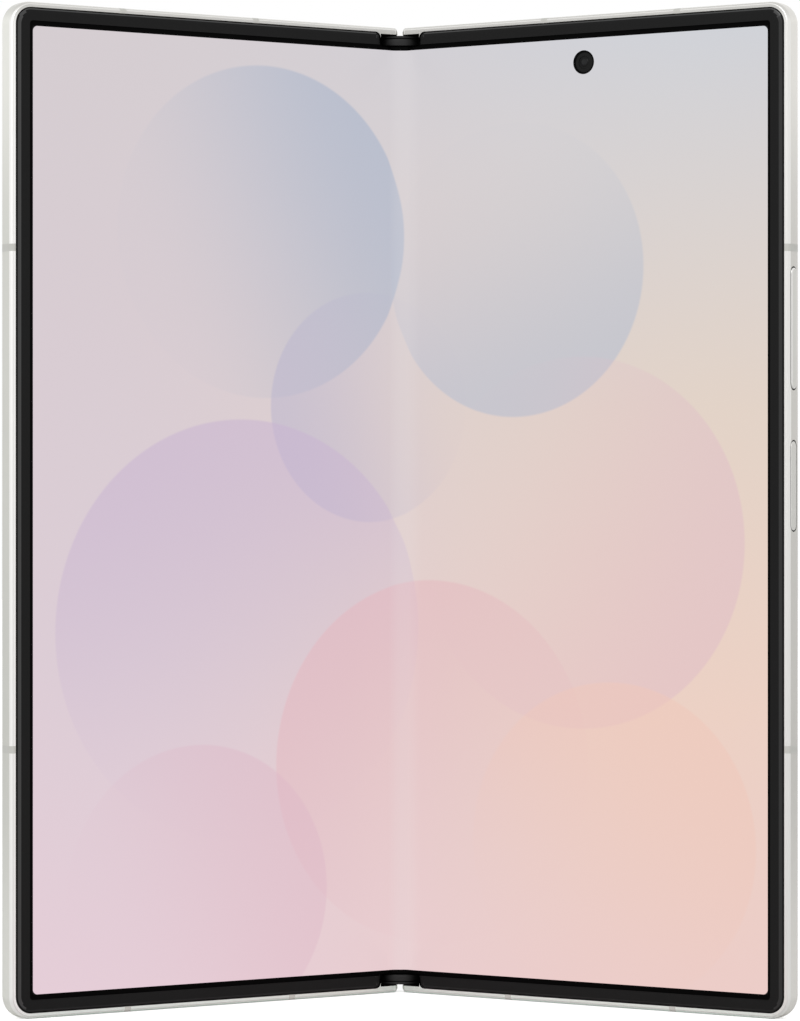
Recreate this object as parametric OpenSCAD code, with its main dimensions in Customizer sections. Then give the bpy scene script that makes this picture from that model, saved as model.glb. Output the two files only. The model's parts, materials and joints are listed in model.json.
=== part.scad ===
// A folding phone that stands half open, like a book on its lower edge.
// Each half is drawn flat: u runs out from the fold, w runs back from the
// front plane, z runs up. hinged() then turns it about its own fold axis.

/* [Pose] */
// Turn of each half from flat at rest, degrees
rest_fold = 32.1; // [20:0.1:45]

/* [Halves] */
// Width of one half
half_w = 71.6; // [66:0.2:80]
// Height of the phone
height = 158.4; // [150:0.2:175]
// Thickness of one half
thick = 4.2; // [4.2:0.05:4.6]
// Radius of the outer corners
corner_r = 3.6; // [3.2:0.1:6]
// Gap between the two front planes when shut
shut_gap = 0.5; // [0.4:0.05:0.9]
// Gap between the back lips when flat
lip_gap = 0.1; // [0.06:0.02:0.3]

/* [Frame] */
// Thickness of the outer walls
wall_t = 1.15; // [1:0.05:1.4]
// Chamfer at the front edge
chamfer = 0.38; // [0.2:0.02:0.5]
// Width of the flat rim inside the chamfer
rim_w = 0.5; // [0.3:0.05:0.6]
// Radius of the back edge
back_r = 1.6; // [1.2:0.1:1.8]
// Depth of the seat that carries the bezel
seat_d = 0.45; // [0.4:0.01:0.55]
// Thickness of the deck behind the screen
deck_t = 0.5; // [0.4:0.05:0.6]
// Depth of the ledge behind the rear glass
ledge_t = 0.3; // [0.2:0.05:0.4]
// Width of the ledge behind the rear glass
ledge_w = 0.45; // [0.3:0.05:0.7]
// Width of a radio break in a wall
break_w = 1.15; // [0.8:0.05:1.6]
// Height of the upper side break over mid height
break_up = 40.8; // [39:0.1:50]
// Depth of the lower side break under mid height
break_down = 37.2; // [30:0.1:50]
// Distance of the outer top break from the outer edge
top_break_side = 19.8; // [18:0.1:24]
// Distance of the inner top break from the fold
top_break_in_u = 27.6; // [20:0.1:30]
// Distance of the outer bottom break from the outer edge
bottom_break_side = 20.6; // [20:0.1:26]
// Distance of the inner bottom break from the fold
bottom_break_in_u = 20.9; // [14:0.1:28]

/* [Screen] */
// Thickness of the folding screen
screen_t = 0.6; // [0.5:0.02:0.62]
// Depth of the screen's face under the front plane
screen_sink = 0.2; // [0.15:0.01:0.22]
// Distance from the outer edges to the screen sheet
sheet_in = 2.6; // [2.5:0.05:2.9]
// Half width of the stretch that bends
bend_half = 2.6; // [2.4:0.1:3]
// Distance from the outer edges to the bezel's inner edge
bezel_in = 3; // [2.95:0.05:3.3]
// Distance from the fold to the bezel's end
bezel_u = 4.04; // [3.9:0.02:5]
// Radius of the selfie camera hole
selfie_r = 1.91; // [1.5:0.01:2.1]
// Distance of the selfie camera from the fold
selfie_u = 35; // [20:0.5:44]
// Drop of the selfie camera from the top edge
selfie_drop = 7.4; // [6.5:0.1:9]

/* [Keys] */
// Length of the volume key
volume_len = 18.9; // [15:0.1:20]
// Gap between the volume key and the side break
volume_gap = 2.5; // [2:0.1:6]
// Length of the power key
power_len = 13.9; // [11:0.1:15]
// Gap between the two keys
keys_gap = 8.1; // [4:0.1:9]
// Width of both keys
key_w = 1.8; // [1.4:0.05:1.9]
// How far the volume key stands out
volume_proud = 0.15; // [0:0.05:0.3]
// Travel of the power key
power_travel = 0.2; // [0.1:0.05:0.3]
// Gap round the keys, tray and port
fit = 0.1; // [0.05:0.01:0.15]

/* [Port and tray] */
// Width of the USB-C mouth
port_w = 8.34; // [8.34:0.01:8.4]
// Height of the USB-C mouth
port_h = 2.56; // [2.56:0.01:2.6]
// Depth of the USB-C port
port_depth = 6.6; // [6.2:0.1:7.5]
// Distance of the port from the fold
port_u = 36; // [30:0.5:40]
// Width of the card tray
tray_w = 13.4; // [12.8:0.1:15]
// Length of the card tray
tray_len = 15; // [12:0.5:18]
// Thickness of the card tray
tray_t = 1.1; // [0.9:0.05:1.2]
// Gap between the top break and the card tray
tray_gap = 0.9; // [0.8:0.05:1.2]

/* [Hinge] */
// Depth of the fold axes behind the front plane
axis_w = 0.825; // [0.8:0.005:0.85]
// Thickness of the back lip over the spine
lip_t = 1; // [0.8:0.05:1.1]
// Thickness of the spine cover
spine_t = 0.45; // [0.3:0.05:0.5]
// Running gap between the spine and the halves
spine_gap = 0.075; // [0.05:0.005:0.1]
// Height of a spine end cap
cap_h = 1.9; // [1.5:0.1:1.9]
// Middle radius of the arc rails
rail_r = 1.5; // [1.45:0.01:1.52]
// Thickness of the arc rails
rail_t = 0.5; // [0.3:0.05:0.52]
// Gap on each side of the arc rails
rail_gap = 0.05; // [0.03:0.01:0.07]
// Length of an arc rail along the spine
rail_len = 3.8; // [3:0.1:6]
// Thickness of the walls in a hinge block
web_t = 1.2; // [1:0.1:2]
// Height of the lower module's foot
module_low = 28; // [20:1:32]
// Height of the upper module's foot below the top
module_drop = 49; // [42:1:54]
// Radius of the gears' pitch circles
pitch_r = 0.56; // [0.52:0.01:0.58]
// Teeth of each gear
teeth = 14; // [14:2:16]
// Thickness of the gears
gear_t = 1.8; // [1.4:0.1:2.4]
// Depth of the gear axes behind the front plane
gear_w = 1.72; // [1.7:0.01:1.75]
// Radius of the gear shafts
shaft_r = 0.15; // [0.12:0.01:0.18]
// Running gap of the gears on their shafts
shaft_gap = 0.03; // [0.02:0.01:0.05]
// Discs in each spring stack
disc_count = 6; // [4:2:10]
// Reach of the sync arms from the fold
arm_reach = 8.4; // [7.5:0.1:8.6]
// Thickness of the sync arms
arm_t = 0.36; // [0.3:0.02:0.38]

/* [Cameras] */
// Width of the camera island
island_w = 18.5; // [17:0.5:20]
// Height of the camera island
island_h = 50; // [47:0.5:56]
// How far the island stands out
island_t = 1.7; // [1:0.1:2.4]
// Distance of the island from the outer and top edges
island_in = 4; // [4:0.5:6]
// Radius of a lens ring
ring_r = 7; // [6:0.1:7.6]
// Distance between lenses
lens_pitch = 15.6; // [15.4:0.1:16.2]
// Radius of a lens's glass
lens_r = 6.1; // [4:0.1:6.3]

/* [Inside] */
// Distance from the fold to the batteries
cell_u = 13; // [11:0.5:16]
// Gap between the batteries and the magnets
cell_side = 4.1; // [3:0.1:8]
// Gap between the batteries and the boards
cell_gap = 2.4; // [2:0.1:6]
// Thickness of the batteries
cell_t = 1.7; // [1.2:0.1:1.8]
// Gap between the deck and what lies behind it
bed = 0.1; // [0.05:0.05:0.2]
// Radius of the wireless coil
coil_r = 20; // [14:0.5:22]
// Thickness of the circuit boards
board_t = 0.6; // [0.5:0.05:0.7]
// Height of the main board
main_board_h = 60; // [56:1:66]
// Height of the second board
sub_board_h = 49; // [47:1:55]

/* [Hidden] */

$fn = 48;
eps = 0.01;
mid = height / 2;

// fold axes: each half turns about (axis_u, axis_w), mirrored for the left
axis_u = axis_w + shut_gap / 2;
pocket_r = thick - lip_t - axis_w;
spine_r = pocket_r - spine_gap;
spine_in_r = spine_r - spine_t;
spine_top_w = 1.6;
block_top_w = 1;

// the box of the posed phone runs from front_y to back_y, and y = 0 halves it
front_y = axis_w - (half_w - chamfer - axis_u) * sin(rest_fold)
        - axis_w * cos(rest_fold);
back_y = axis_w + (axis_u - lip_gap / 2) * sin(rest_fold)
       + (thick - axis_w) * cos(rest_fold);
middle_y = (front_y + back_y) / 2;

// layers behind the front plane
rim_in = chamfer + rim_w;
glue = 0.02;
deck_w = screen_sink + screen_t + glue;
deck_back = deck_w + deck_t;
glass_t = 0.5;
glass_w = thick - glass_t;
glass_in = back_r + 0.1;
ledge_front = glass_w - ledge_t;
ledge_in = glass_in + ledge_w;
back_reach = max(wall_t, back_r) + 0.05;
seat_in = sheet_in - 0.15;
bed_w = deck_back + bed;
glass_start = 3;
rail_block_end = 5;
flange_end = 9;
flange_back = 2.2;

// the end walls stop short of the fold with a rounded front corner
nose_u = 1.18;
nose_r = 0.85;
nose_back = 1.3;
nose_corner = 0.6;

// hinge modules, from the foot up: web, rail A, web, rail B, web, gears, web,
// springs, web
end_play = 0.1;
rail_room = rail_len + 2 * end_play;
gear_room = gear_t + 2 * end_play;
spring_room = 4.4;
disc_pitch = 0.6;
disc_rise = 0.24;
disc_t = 0.14;
flex_h = 16;
flex_t = 0.12;
rail_a = web_t;
rail_b = rail_a + rail_room + web_t;
gear_z = rail_b + rail_room + web_t;
spring_z = gear_z + gear_room + web_t;
module_h = spring_z + spring_room + web_t;
modules = [module_low, height - module_drop];
block_r = spine_in_r - 0.05;
block_back = axis_w + block_r - 0.05;
tray_cut_w = gear_w + pitch_r + 0.15;
addendum = pitch_r / teeth * 2;
dedendum = addendum * 1.25;
outer_gear_u = 3 * pitch_r;
arm_front = block_top_w + 0.17;
arm_start = outer_gear_u + 0.5;
neck_end = outer_gear_u + 0.9;

// breaks, keys, tray and port
top_break_u = half_w - top_break_side;
bottom_break_u = half_w - bottom_break_side;
volume_up = break_up - break_w / 2 - volume_gap - volume_len / 2;
power_up = volume_up - volume_len / 2 - keys_gap - power_len / 2;
key_mid_w = 1.6;
key_foot = 0.42;
key_room = 1.2;
flange_t = 0.25;
flange_rim = 0.35;
port_mid_w = 2.25;
shell_t = 0.14;
shell_floor = 0.3;
tongue_w = 6.7;
tongue_t = 0.7;
tongue_foot = 1.4;
tray_mid_w = 2.3;
tray_u = top_break_u + break_w / 2 + tray_gap + tray_w / 2;
tray_head_t = tray_t + 0.4;

// cameras
island_u = half_w - island_in - island_w / 2;
island_z = height - island_in - island_h / 2;
lens_z = [for (i = [-1, 0, 1]) island_z + i * lens_pitch];
ring_t = 0.7;
ring_edge = 0.4;
lens_t = 0.55;
flash_r = 1.55;
flash_side = 1.65;
flash_u = island_u - island_w / 2 - flash_side;
flash_z = island_z + lens_pitch;
cover_cam_r = 1.65;
cover_cam_u = half_w / 2;
cover_cam_drop = 7;
cover_cam_z = height - cover_cam_drop;
hole_gap = 0.05;

// the loudspeaker and its row of sound holes
speaker_u = bottom_break_u + 1;
speaker_w = 15;
speaker_h = 15;
sound_holes = 6;
sound_pitch = 2.2;
sound_r = 0.55;
sound_in = 2;

// inside parts, from the foot up, between the hinge and the magnets
inner_u = half_w - ledge_in - 0.8;
magnet_w = 1.7;
magnet_h = 9;
magnet_u = inner_u - 0.1 - magnet_w;
magnet_z = [speaker_h + 7, mid - 25, mid + 50];
motor_u = 44;
motor_foot = 4;
motor_w = 14;
motor_h = 8;
foot_gap = 4.5;
cell_w = magnet_u - cell_side - cell_u;
main_drop = 4;
sub_drop = 5;
main_foot = height - main_drop - main_board_h;
sub_foot = height - sub_drop - sub_board_h;
right_cell_foot = speaker_h + foot_gap;
left_cell_foot = motor_foot + motor_h + foot_gap;
right_cell_h = main_foot - cell_gap - right_cell_foot;
left_cell_h = sub_foot - cell_gap - left_cell_foot;
board_u = cell_u - 2;
board_w = bed_w + 0.05;
board_back = board_w + board_t;
can_u = cell_u + 4;
can_gap = 2;
can_drop = 14;
big_can = [16, 32];
small_can = [8, 22];
coil_t = 0.25;
ear_u = 24;
ear_w = 12;
ear_drop = 5.8;

// board screws: distance from the fold and drop from the top edge
screw_spots = [[14, 50.4], [14, 8.4], [40, 50.4]];
screw_r = 0.5;
hinge_screw_r = 0.45;
hinge_screw_u = (rail_block_end + flange_end) / 2;
block_screw_r = 0.3;

// card
card_w = 8.8;
card_len = 12.3;
card_t = 0.67;
card_drop = 2;
sled_w = tray_w - tray_t;

// ---- helpers --------------------------------------------------------------

// turns a face drawing (x across, y up, extruded back) upright
module upright() {
    mirror([0, 1, 0]) rotate([90, 0, 0]) children();
}

module right_half(turn = rest_fold) {
    translate([axis_u, axis_w - middle_y, 0])
        rotate([0, 0, -turn])
            translate([-axis_u, -axis_w, 0]) children();
}

module left_half(turn = rest_fold) {
    mirror([1, 0, 0]) right_half(turn) children();
}

module in_spine() {
    translate([0, -middle_y, 0]) children();
}

// a plate seen from the front: corners, depth range
module plate(u0, u1, z0, z1, w0, w1) {
    translate([u0, w0, z0]) cube([u1 - u0, w1 - w0, z1 - z0]);
}

// a flat plate with rounded corners
module round_plate(u0, u1, z0, z1, w0, w1, r) {
    upright() translate([0, 0, w0]) linear_extrude(w1 - w0)
        rounded(u0, u1, z0, z1, r);
}

module rounded(x0, x1, y0, y1, r) {
    translate([x0 + r, y0]) square([x1 - x0 - 2 * r, y1 - y0]);
    translate([x0, y0 + r]) square([x1 - x0, y1 - y0 - 2 * r]);
    for (x = [x0 + r, x1 - r], y = [y0 + r, y1 - r])
        translate([x, y]) circle(r);
}

// a bar with round ends, x along, y across
module slot_shape(length, width) {
    rounded(-length / 2, length / 2, -width / 2, width / 2, width / 2 - eps);
}

// an upright cylinder at a place in the section
module post(u, w, z0, z1, r) {
    translate([u, w, z0]) cylinder(r = r, h = z1 - z0);
}

// a cylinder that runs back from depth w0
module barrel(u, z, w0, w1, r) {
    translate([u, w0, z]) rotate([-90, 0, 0]) cylinder(r = r, h = w1 - w0);
}

// a section of points [inward, back] swept round three sides of a half
module sweep_round(section, start) {
    upright() {
        side_sweep(section, corner_r, height - corner_r);
        end_sweep(section, start, half_w - corner_r);
        for (top = [0, 1])
            translate([half_w - corner_r, top ? height - corner_r : corner_r, 0])
                rotate([0, 0, top ? 0 : -90]) rotate_extrude(angle = 90)
                    polygon([for (p = section) [corner_r - p[0], p[1]]]);
    }
}

module side_sweep(section, y0, y1) {
    translate([half_w, y1, 0]) rotate([90, 0, 0]) linear_extrude(y1 - y0)
        polygon([for (p = section) [-p[0], p[1]]]);
}

module end_sweep(section, x0, x1) {
    translate([x0, height, 0]) rotate([90, 0, 90]) linear_extrude(x1 - x0)
        polygon([for (p = section) [-p[0], p[1]]]);
    translate([x0, 0, 0]) rotate([90, 0, 90]) linear_extrude(x1 - x0)
        polygon(section);
}

// ---- frames ---------------------------------------------------------------

// the rounded back edge of a wall
function back_edge() = [
    for (a = [0:15:90])
        [back_r - back_r * sin(a), thick - back_r + back_r * cos(a)]
];

function wall_section() = concat(
    [
        [chamfer, 0], [rim_in, 0], [rim_in, seat_d], [seat_in, seat_d],
        [seat_in, deck_back], [wall_t, deck_back], [wall_t, ledge_front],
        [ledge_in, ledge_front], [ledge_in, glass_w], [glass_in, glass_w],
        [glass_in, thick]
    ],
    back_edge(), [[0, chamfer]]
);

// near the fold the end walls have no seats, and are thicker at the back
function plain_section() = concat(
    [
        [chamfer, 0], [wall_t, 0], [wall_t, block_top_w],
        [back_reach, block_top_w], [back_reach, thick]
    ],
    back_edge(), [[0, chamfer]]
);

// what is cut from the end walls beside the fold, seen along z
module nose_cut() {
    difference() {
        translate([-1, -1]) square([1 + nose_u, 1 + nose_r]);
        translate([nose_u, nose_r]) circle(nose_r);
    }
    polygon([
        [-1, nose_r], [nose_u - nose_r, nose_r], [lip_gap / 2, nose_back],
        [-1, nose_back]
    ]);
}

module corner_cut(z, up) {
    translate([lip_gap / 2, -1, z]) mirror([0, 0, up ? 0 : 1])
        rotate([-90, 0, 0]) linear_extrude(thick + 2) difference() {
            translate([-1, -1]) square(1 + nose_corner);
            translate([nose_corner, nose_corner]) circle(nose_corner);
        }
}

// what the spine needs: round each fold axis, and flat between them
module spine_pocket() {
    post(axis_u, axis_w, wall_t, height - wall_t, pocket_r);
    plate(-1, axis_u, wall_t, height - wall_t, -1, axis_w + pocket_r);
}

// openings for the rotators and sync arms, at one height of each module
module hinge_window(z, length) {
    for (foot = modules)
        plate(0, flange_end + 0.2, foot + z - 0.05, foot + z + length + 0.05,
              deck_w - eps, flange_back + 0.15);
}

module frame_body(rail_z) {
    difference() {
        union() {
            sweep_round(wall_section(), bezel_u);
            upright() end_sweep(plain_section(), lip_gap / 2, bezel_u);
            plate(glass_start, inner_u, wall_t, height - wall_t,
                  deck_w, deck_back);
            plate(inner_u - eps, half_w - wall_t, seat_in, height - seat_in,
                  deck_w, deck_back);
            plate(glass_start, rail_block_end, wall_t - eps,
                  height - wall_t + eps, deck_w, glass_w);
            plate(lip_gap / 2, glass_start, back_reach - eps,
                  height - back_reach + eps, block_top_w, thick);
        }
        spine_pocket();
        translate([0, 0, -1]) linear_extrude(height + 2) nose_cut();
        corner_cut(height, true);
        corner_cut(0, false);
        hinge_window(rail_z, rail_room);
        hinge_window(gear_z, gear_room);
        radio_gaps();
    }
}

// the gaps that the radio breaks fill
module radio_gaps() {
    for (z = [mid + break_up, mid - break_down])
        plate(half_w - wall_t, half_w + 1, z - break_w / 2, z + break_w / 2,
              -1, thick + 1);
    for (u = [top_break_u, top_break_in_u])
        plate(u - break_w / 2, u + break_w / 2, height - wall_t, height + 1,
              -1, thick + 1);
    for (u = [bottom_break_u, bottom_break_in_u])
        plate(u - break_w / 2, u + break_w / 2, -1, wall_t, -1, thick + 1);
}

module radio_breaks() {
    color("#c1c1bb") intersection() {
        sweep_round(wall_section(), bezel_u);
        radio_gaps();
    }
}

module left_radio_breaks() { left_half() radio_breaks(); }
module right_radio_breaks() { right_half() radio_breaks(); }

module left_frame() {
    color("#dededa") left_half() difference() {
        frame_body(rail_b);
        // slot of the card tray
        translate([tray_u, tray_mid_w, height - wall_t - 1])
            linear_extrude(wall_t + 2)
                slot_shape(tray_w + 2 * fit, tray_head_t + 2 * fit);
        screw_holes();
    }
}

module right_frame() {
    color("#dededa") right_half() difference() {
        frame_body(rail_a);
        key_slot(volume_up, volume_len);
        key_slot(power_up, power_len);
        // mouth and bed of the port
        translate([port_u, port_mid_w, -1]) linear_extrude(wall_t + 2)
            slot_shape(port_w, port_h);
        plate(port_u - port_w / 2 - 0.4, port_u + port_w / 2 + 0.4, wall_t,
              port_depth + 0.8, deck_w + eps, thick);
        // sound holes under the loudspeaker
        for (i = [0:sound_holes - 1])
            post(speaker_u + sound_in + sound_pitch * i, port_mid_w, -1, 4, sound_r);
        barrel(selfie_u, height - selfie_drop, 0, thick, selfie_r);
        screw_holes();
    }
}

module key_slot(up, length) {
    translate([half_w - ledge_in - key_room, key_mid_w, mid + up])
        rotate([90, 0, 90]) linear_extrude(ledge_in + key_room + 1)
            rotate([0, 0, 90]) slot_shape(length + 2 * fit, key_w + 2 * fit);
    // room for the key's flange behind the wall
    room = flange_rim + 0.25;
    plate(half_w - ledge_in - key_room, half_w - wall_t,
          mid + up - length / 2 - room, mid + up + length / 2 + room,
          key_mid_w - key_w / 2 - 0.15, ledge_front + eps);
}

// holes of the board screws, in the deck and the boards
module screw_holes() {
    for (s = screw_spots) barrel(s[0], height - s[1], 0, thick, screw_r);
}

// ---- bezels and screen ----------------------------------------------------

module bezel() {
    section = [
        [rim_in + glue, 0], [bezel_in, 0], [bezel_in, screen_sink - glue],
        [seat_in, screen_sink - glue], [seat_in, seat_d - glue],
        [rim_in + glue, seat_d - glue]
    ];
    color("#262626") sweep_round(section, bezel_u);
}

module left_bezel() { left_half() bezel(); }
module right_bezel() { right_half() bezel(); }

// the flat stretch of the screen on one half; beside the fold it is shorter
cap_edge = sheet_in + 0.6;
module flat_screen() {
    upright() translate([0, 0, screen_sink]) linear_extrude(screen_t) {
        rounded(bezel_u, half_w - sheet_in, sheet_in, height - sheet_in,
                corner_r - sheet_in);
        translate([bend_half, cap_edge])
            square([bezel_u - bend_half + corner_r, height - 2 * cap_edge]);
    }
}

module inner_display_left() {
    color("#d8cfd6") left_half() flat_screen();
}

module inner_display_right() {
    color("#d8cfd6") right_half() difference() {
        flat_screen();
        barrel(selfie_u, height - selfie_drop, -1, thick, selfie_r);
    }
}

// the bending stretch turns gradually from the middle out to each half
function eased(t) = t * t * (3 - 2 * t);
function turned(u, w, a) = [
    axis_u + (u - axis_u) * cos(a) + (w - axis_w) * sin(a),
    axis_w - (u - axis_u) * sin(a) + (w - axis_w) * cos(a)
];
bend_steps = 12;
function bent(w) = [
    for (i = [0:bend_steps])
        turned(bend_half * i / bend_steps, w, rest_fold * eased(i / bend_steps))
];

module display_fold_zone() {
    front = bent(screen_sink);
    back = bent(screen_sink + screen_t);
    color("#d8cfd6") in_spine() for (side = [0, 1])
        mirror([side, 0, 0]) translate([0, 0, cap_edge])
            linear_extrude(height - 2 * cap_edge)
                polygon(concat(front, [for (i = [bend_steps:-1:0]) back[i]]));
}

// ---- spine ----------------------------------------------------------------

// a bar with a round end on each fold axis
module spine_shape(r) {
    for (s = [-1, 1]) translate([s * axis_u, axis_w]) circle(r);
    translate([-axis_u, axis_w]) square([2 * axis_u, r]);
}

spine_foot = wall_t + 0.15;

module spine_cover() {
    z0 = spine_foot + cap_h + 0.05;
    color("#8c8c8a") in_spine() difference() {
        translate([0, 0, z0]) linear_extrude(height - 2 * z0) difference() {
            intersection() {
                spine_shape(spine_r);
                translate([-10, spine_top_w]) square([20, 10]);
            }
            spine_shape(spine_in_r);
        }
        block_screw_shanks();
    }
}

module spine_end_caps() {
    hood_r = 8;
    hood_w = 0.3;
    color("#1c1c1c") in_spine()
        for (z = [spine_foot, height - spine_foot - cap_h])
            translate([0, 0, z]) linear_extrude(cap_h) intersection() {
                spine_shape(spine_r);
                translate([0, hood_w + hood_r]) circle(hood_r, $fn = 180);
            }
}

module block_shape() {
    intersection() {
        spine_shape(block_r);
        translate([-10, block_top_w]) square([20, block_back - block_top_w]);
    }
}

module ring(r0, r1, length) {
    difference() {
        cylinder(r = r1, h = length);
        translate([0, 0, -1]) cylinder(r = r0, h = length + 2);
    }
}

module hinge_base_blocks() {
    color("#9a9a98") in_spine() difference() {
        for (foot = modules)
            translate([0, 0, foot]) linear_extrude(module_h) block_shape();
        for (foot = modules) {
            translate([axis_u, axis_w, foot + rail_a]) rail_slot();
            translate([-axis_u, axis_w, foot + rail_b]) rail_slot();
            for (room = [[gear_z, gear_room], [spring_z, spring_room]])
                plate(-4, 4, foot + room[0], foot + room[0] + room[1],
                      0, tray_cut_w);
        }
        gear_posts(shaft_r);
        block_screw_shanks();
        block_screw_heads(0.05);
    }
}

module rail_slot() {
    ring(rail_r - rail_t / 2 - rail_gap, rail_r + rail_t / 2 + rail_gap,
         rail_room);
}

// screws that fasten the blocks to the spine, through webs with no shafts
module block_screw_shanks() {
    for (foot = modules, z = [web_t / 2, rail_b - web_t / 2])
        barrel(0, foot + z, block_top_w, block_back + 0.2, block_screw_r);
}

module block_screw_heads(gap) {
    for (foot = modules, z = [web_t / 2, rail_b - web_t / 2])
        barrel(0, foot + z, block_top_w - gap, block_top_w + 0.35,
               block_screw_r + 0.2 + gap);
}

module hinge_block_screws() {
    color("#b8b8b4") in_spine() {
        block_screw_shanks();
        block_screw_heads(0);
    }
}

module gear_posts(r) {
    for (foot = modules, k = [-3, -1, 1, 3])
        post(k * pitch_r, gear_w, foot + gear_z - 0.6,
             foot + module_h - 0.6, r);
}

module gear_shafts() {
    color("#c8c8c4") in_spine() gear_posts(shaft_r);
}

// one gear outline: straight-sided teeth, the first one pointing along phase
function tooth(a, pitch_angle) = [
    for (p = [
        [-0.31, -dedendum], [-0.225, 0], [-0.11, addendum],
        [0.11, addendum], [0.225, 0], [0.31, -dedendum]
    ]) (pitch_r + p[1]) * [cos(a + p[0] * pitch_angle), sin(a + p[0] * pitch_angle)]
];

module gear_shape(phase) {
    step = 360 / teeth;
    polygon([for (i = [0:teeth - 1]) each tooth(phase + i * step, step)]);
}

module gear(k, phase) {
    for (foot = modules)
        translate([k * pitch_r, gear_w, foot + gear_z + end_play])
            linear_extrude(gear_t) gear_shape(phase);
}

module gear_bores() {
    gear_posts(shaft_r + shaft_gap);
}

module idler_gear_a() {
    color("#d2c08a") in_spine() difference() {
        gear(-1, 180 / teeth);
        gear_bores();
    }
}

module idler_gear_b() {
    color("#d2c08a") in_spine() difference() {
        gear(1, 0);
        gear_bores();
    }
}

// the arm turns about its gear and lies parallel with its half
module sync_arm(phase) {
    difference() {
        union() {
            gear(3, phase);
            for (foot = modules)
                translate([outer_gear_u, gear_w, 0]) rotate([0, 0, -rest_fold])
                    translate([-outer_gear_u, -gear_w, 0])
                        arm_bars(foot + gear_z + end_play);
        }
        gear_bores();
    }
}

module arm_bars(z) {
    plate(arm_start, arm_reach, z, z + gear_t, arm_front, arm_front + arm_t);
    plate(outer_gear_u + 0.2, neck_end, z, z + gear_t,
          arm_front + 0.13, gear_w - 0.02);
}

module right_sync_arm() {
    color("#b9a66c") in_spine() sync_arm(180 / teeth);
}

module left_sync_arm() {
    color("#b9a66c") in_spine() mirror([1, 0, 0]) sync_arm(0);
}

// friction comes from stacks of dished discs on the outer shafts
module disc_springs() {
    color("#a8a8a4") in_spine() for (foot = modules, k = [-3, 3])
        for (i = [0:disc_count - 1])
            translate([k * pitch_r, gear_w,
                       foot + spring_z + 0.2 + (i + (i % 2) * 0.5) * disc_pitch])
                mirror([0, 0, i % 2]) rotate_extrude() polygon([
                    [shaft_r + shaft_gap, 0], [pitch_r - 0.1, disc_rise],
                    [pitch_r - 0.1, disc_rise + disc_t],
                    [shaft_r + shaft_gap, disc_t]
                ]);
}

module hinge_flex_cable() {
    flex_w = axis_w + spine_in_r - 0.2;
    flex_u = axis_u + 0.2;
    color("#a86a2c") in_spine()
        plate(-flex_u, flex_u, mid - flex_h / 2, mid + flex_h / 2,
              flex_w, flex_w + flex_t);
}

// ---- rotators -------------------------------------------------------------

module rotator(z) {
    bridge_front = deck_w + 0.1;
    bridge_back = bridge_front + 0.5;
    for (foot = modules) {
        z0 = foot + z + end_play;
        difference() {
            translate([axis_u, axis_w, z0])
                ring(rail_r - rail_t / 2, rail_r + rail_t / 2, rail_len);
            plate(-4, 4, z0 - 1, z0 + rail_len + 1, -4, bridge_front + 0.2);
        }
        difference() {
            union() {
                plate(axis_u + rail_r - rail_t / 2 + 0.02, flange_end, z0,
                      z0 + rail_len, bridge_front, bridge_back);
                plate(rail_block_end + 0.1, flange_end, z0, z0 + rail_len,
                      bridge_front, flange_back);
            }
            rotator_screw(z0 + rail_len / 2);
        }
    }
}

module rotator_screw(z) {
    head_back = flange_back + 0.35;
    barrel(hinge_screw_u, z, deck_w + 0.25, head_back, hinge_screw_r);
    barrel(hinge_screw_u, z, flange_back, head_back, 2 * hinge_screw_r);
}

module left_rotators() { color("#aaaaa6") left_half() rotator(rail_b); }
module right_rotators() { color("#aaaaa6") right_half() rotator(rail_a); }

module hinge_screws(z) {
    color("#b8b8b4") for (foot = modules)
        rotator_screw(foot + z + end_play + rail_len / 2);
}

module left_hinge_screws() { left_half() hinge_screws(rail_b); }
module right_hinge_screws() { right_half() hinge_screws(rail_a); }

// ---- backs ----------------------------------------------------------------

module back_sheet() {
    inset = glass_in + glue;
    round_plate(glass_start + glue, half_w - inset, inset, height - inset,
                glass_w, thick, corner_r - glass_in);
}

module cover_glass() {
    color("#16181c") left_half() difference() {
        back_sheet();
        barrel(cover_cam_u, cover_cam_z, 0, thick + 1, cover_cam_r + hole_gap);
    }
}

module cover_display_panel() {
    color("#22242a") left_half() difference() {
        round_plate(rail_block_end + 0.2, half_w - ledge_in - 0.1, ledge_in + 0.1,
                    height - ledge_in - 0.1, ledge_front + 0.05,
                    glass_w - glue, corner_r - ledge_in);
        barrel(cover_cam_u, cover_cam_z, 0, thick + 1, cover_cam_r + hole_gap);
    }
}

module cover_camera() {
    color("#101010") left_half()
        barrel(cover_cam_u, cover_cam_z, bed_w, thick, cover_cam_r);
}

module rear_glass() {
    color("#cfcfca") right_half() difference() {
        back_sheet();
        camera_holes(ring_r - 0.6);
        barrel(flash_u, flash_z, 0, thick + 1, flash_r + hole_gap);
    }
}

// ---- cameras --------------------------------------------------------------

module camera_holes(r) {
    for (z = lens_z) barrel(island_u, z, 0, thick + island_t + 1, r);
}

module camera_island() {
    color("#d6d6d0") right_half() difference() {
        round_plate(island_u - island_w / 2, island_u + island_w / 2,
                    island_z - island_h / 2, island_z + island_h / 2,
                    thick, thick + island_t, island_w / 2 - 0.1);
        camera_holes(ring_r - ring_edge);
    }
}

module lens_rings() {
    color("#b0b0aa") right_half() for (z = lens_z)
        translate([island_u, thick + island_t, z]) rotate([-90, 0, 0])
            rotate_extrude() polygon([
                [lens_r + glue, 0], [ring_r, 0], [ring_r, ring_t - 0.2],
                [ring_r - ring_edge, ring_t], [lens_r + glue, ring_t]
            ]);
}

module lens_glass() {
    color("#1a1c22") right_half() for (z = lens_z)
        barrel(island_u, z, thick + island_t, thick + island_t + lens_t, lens_r);
}

module camera_modules() {
    color("#2a2a2a") right_half() for (z = lens_z)
        barrel(island_u, z, bed_w, thick + island_t - 0.1, lens_r - 0.3);
}

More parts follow.
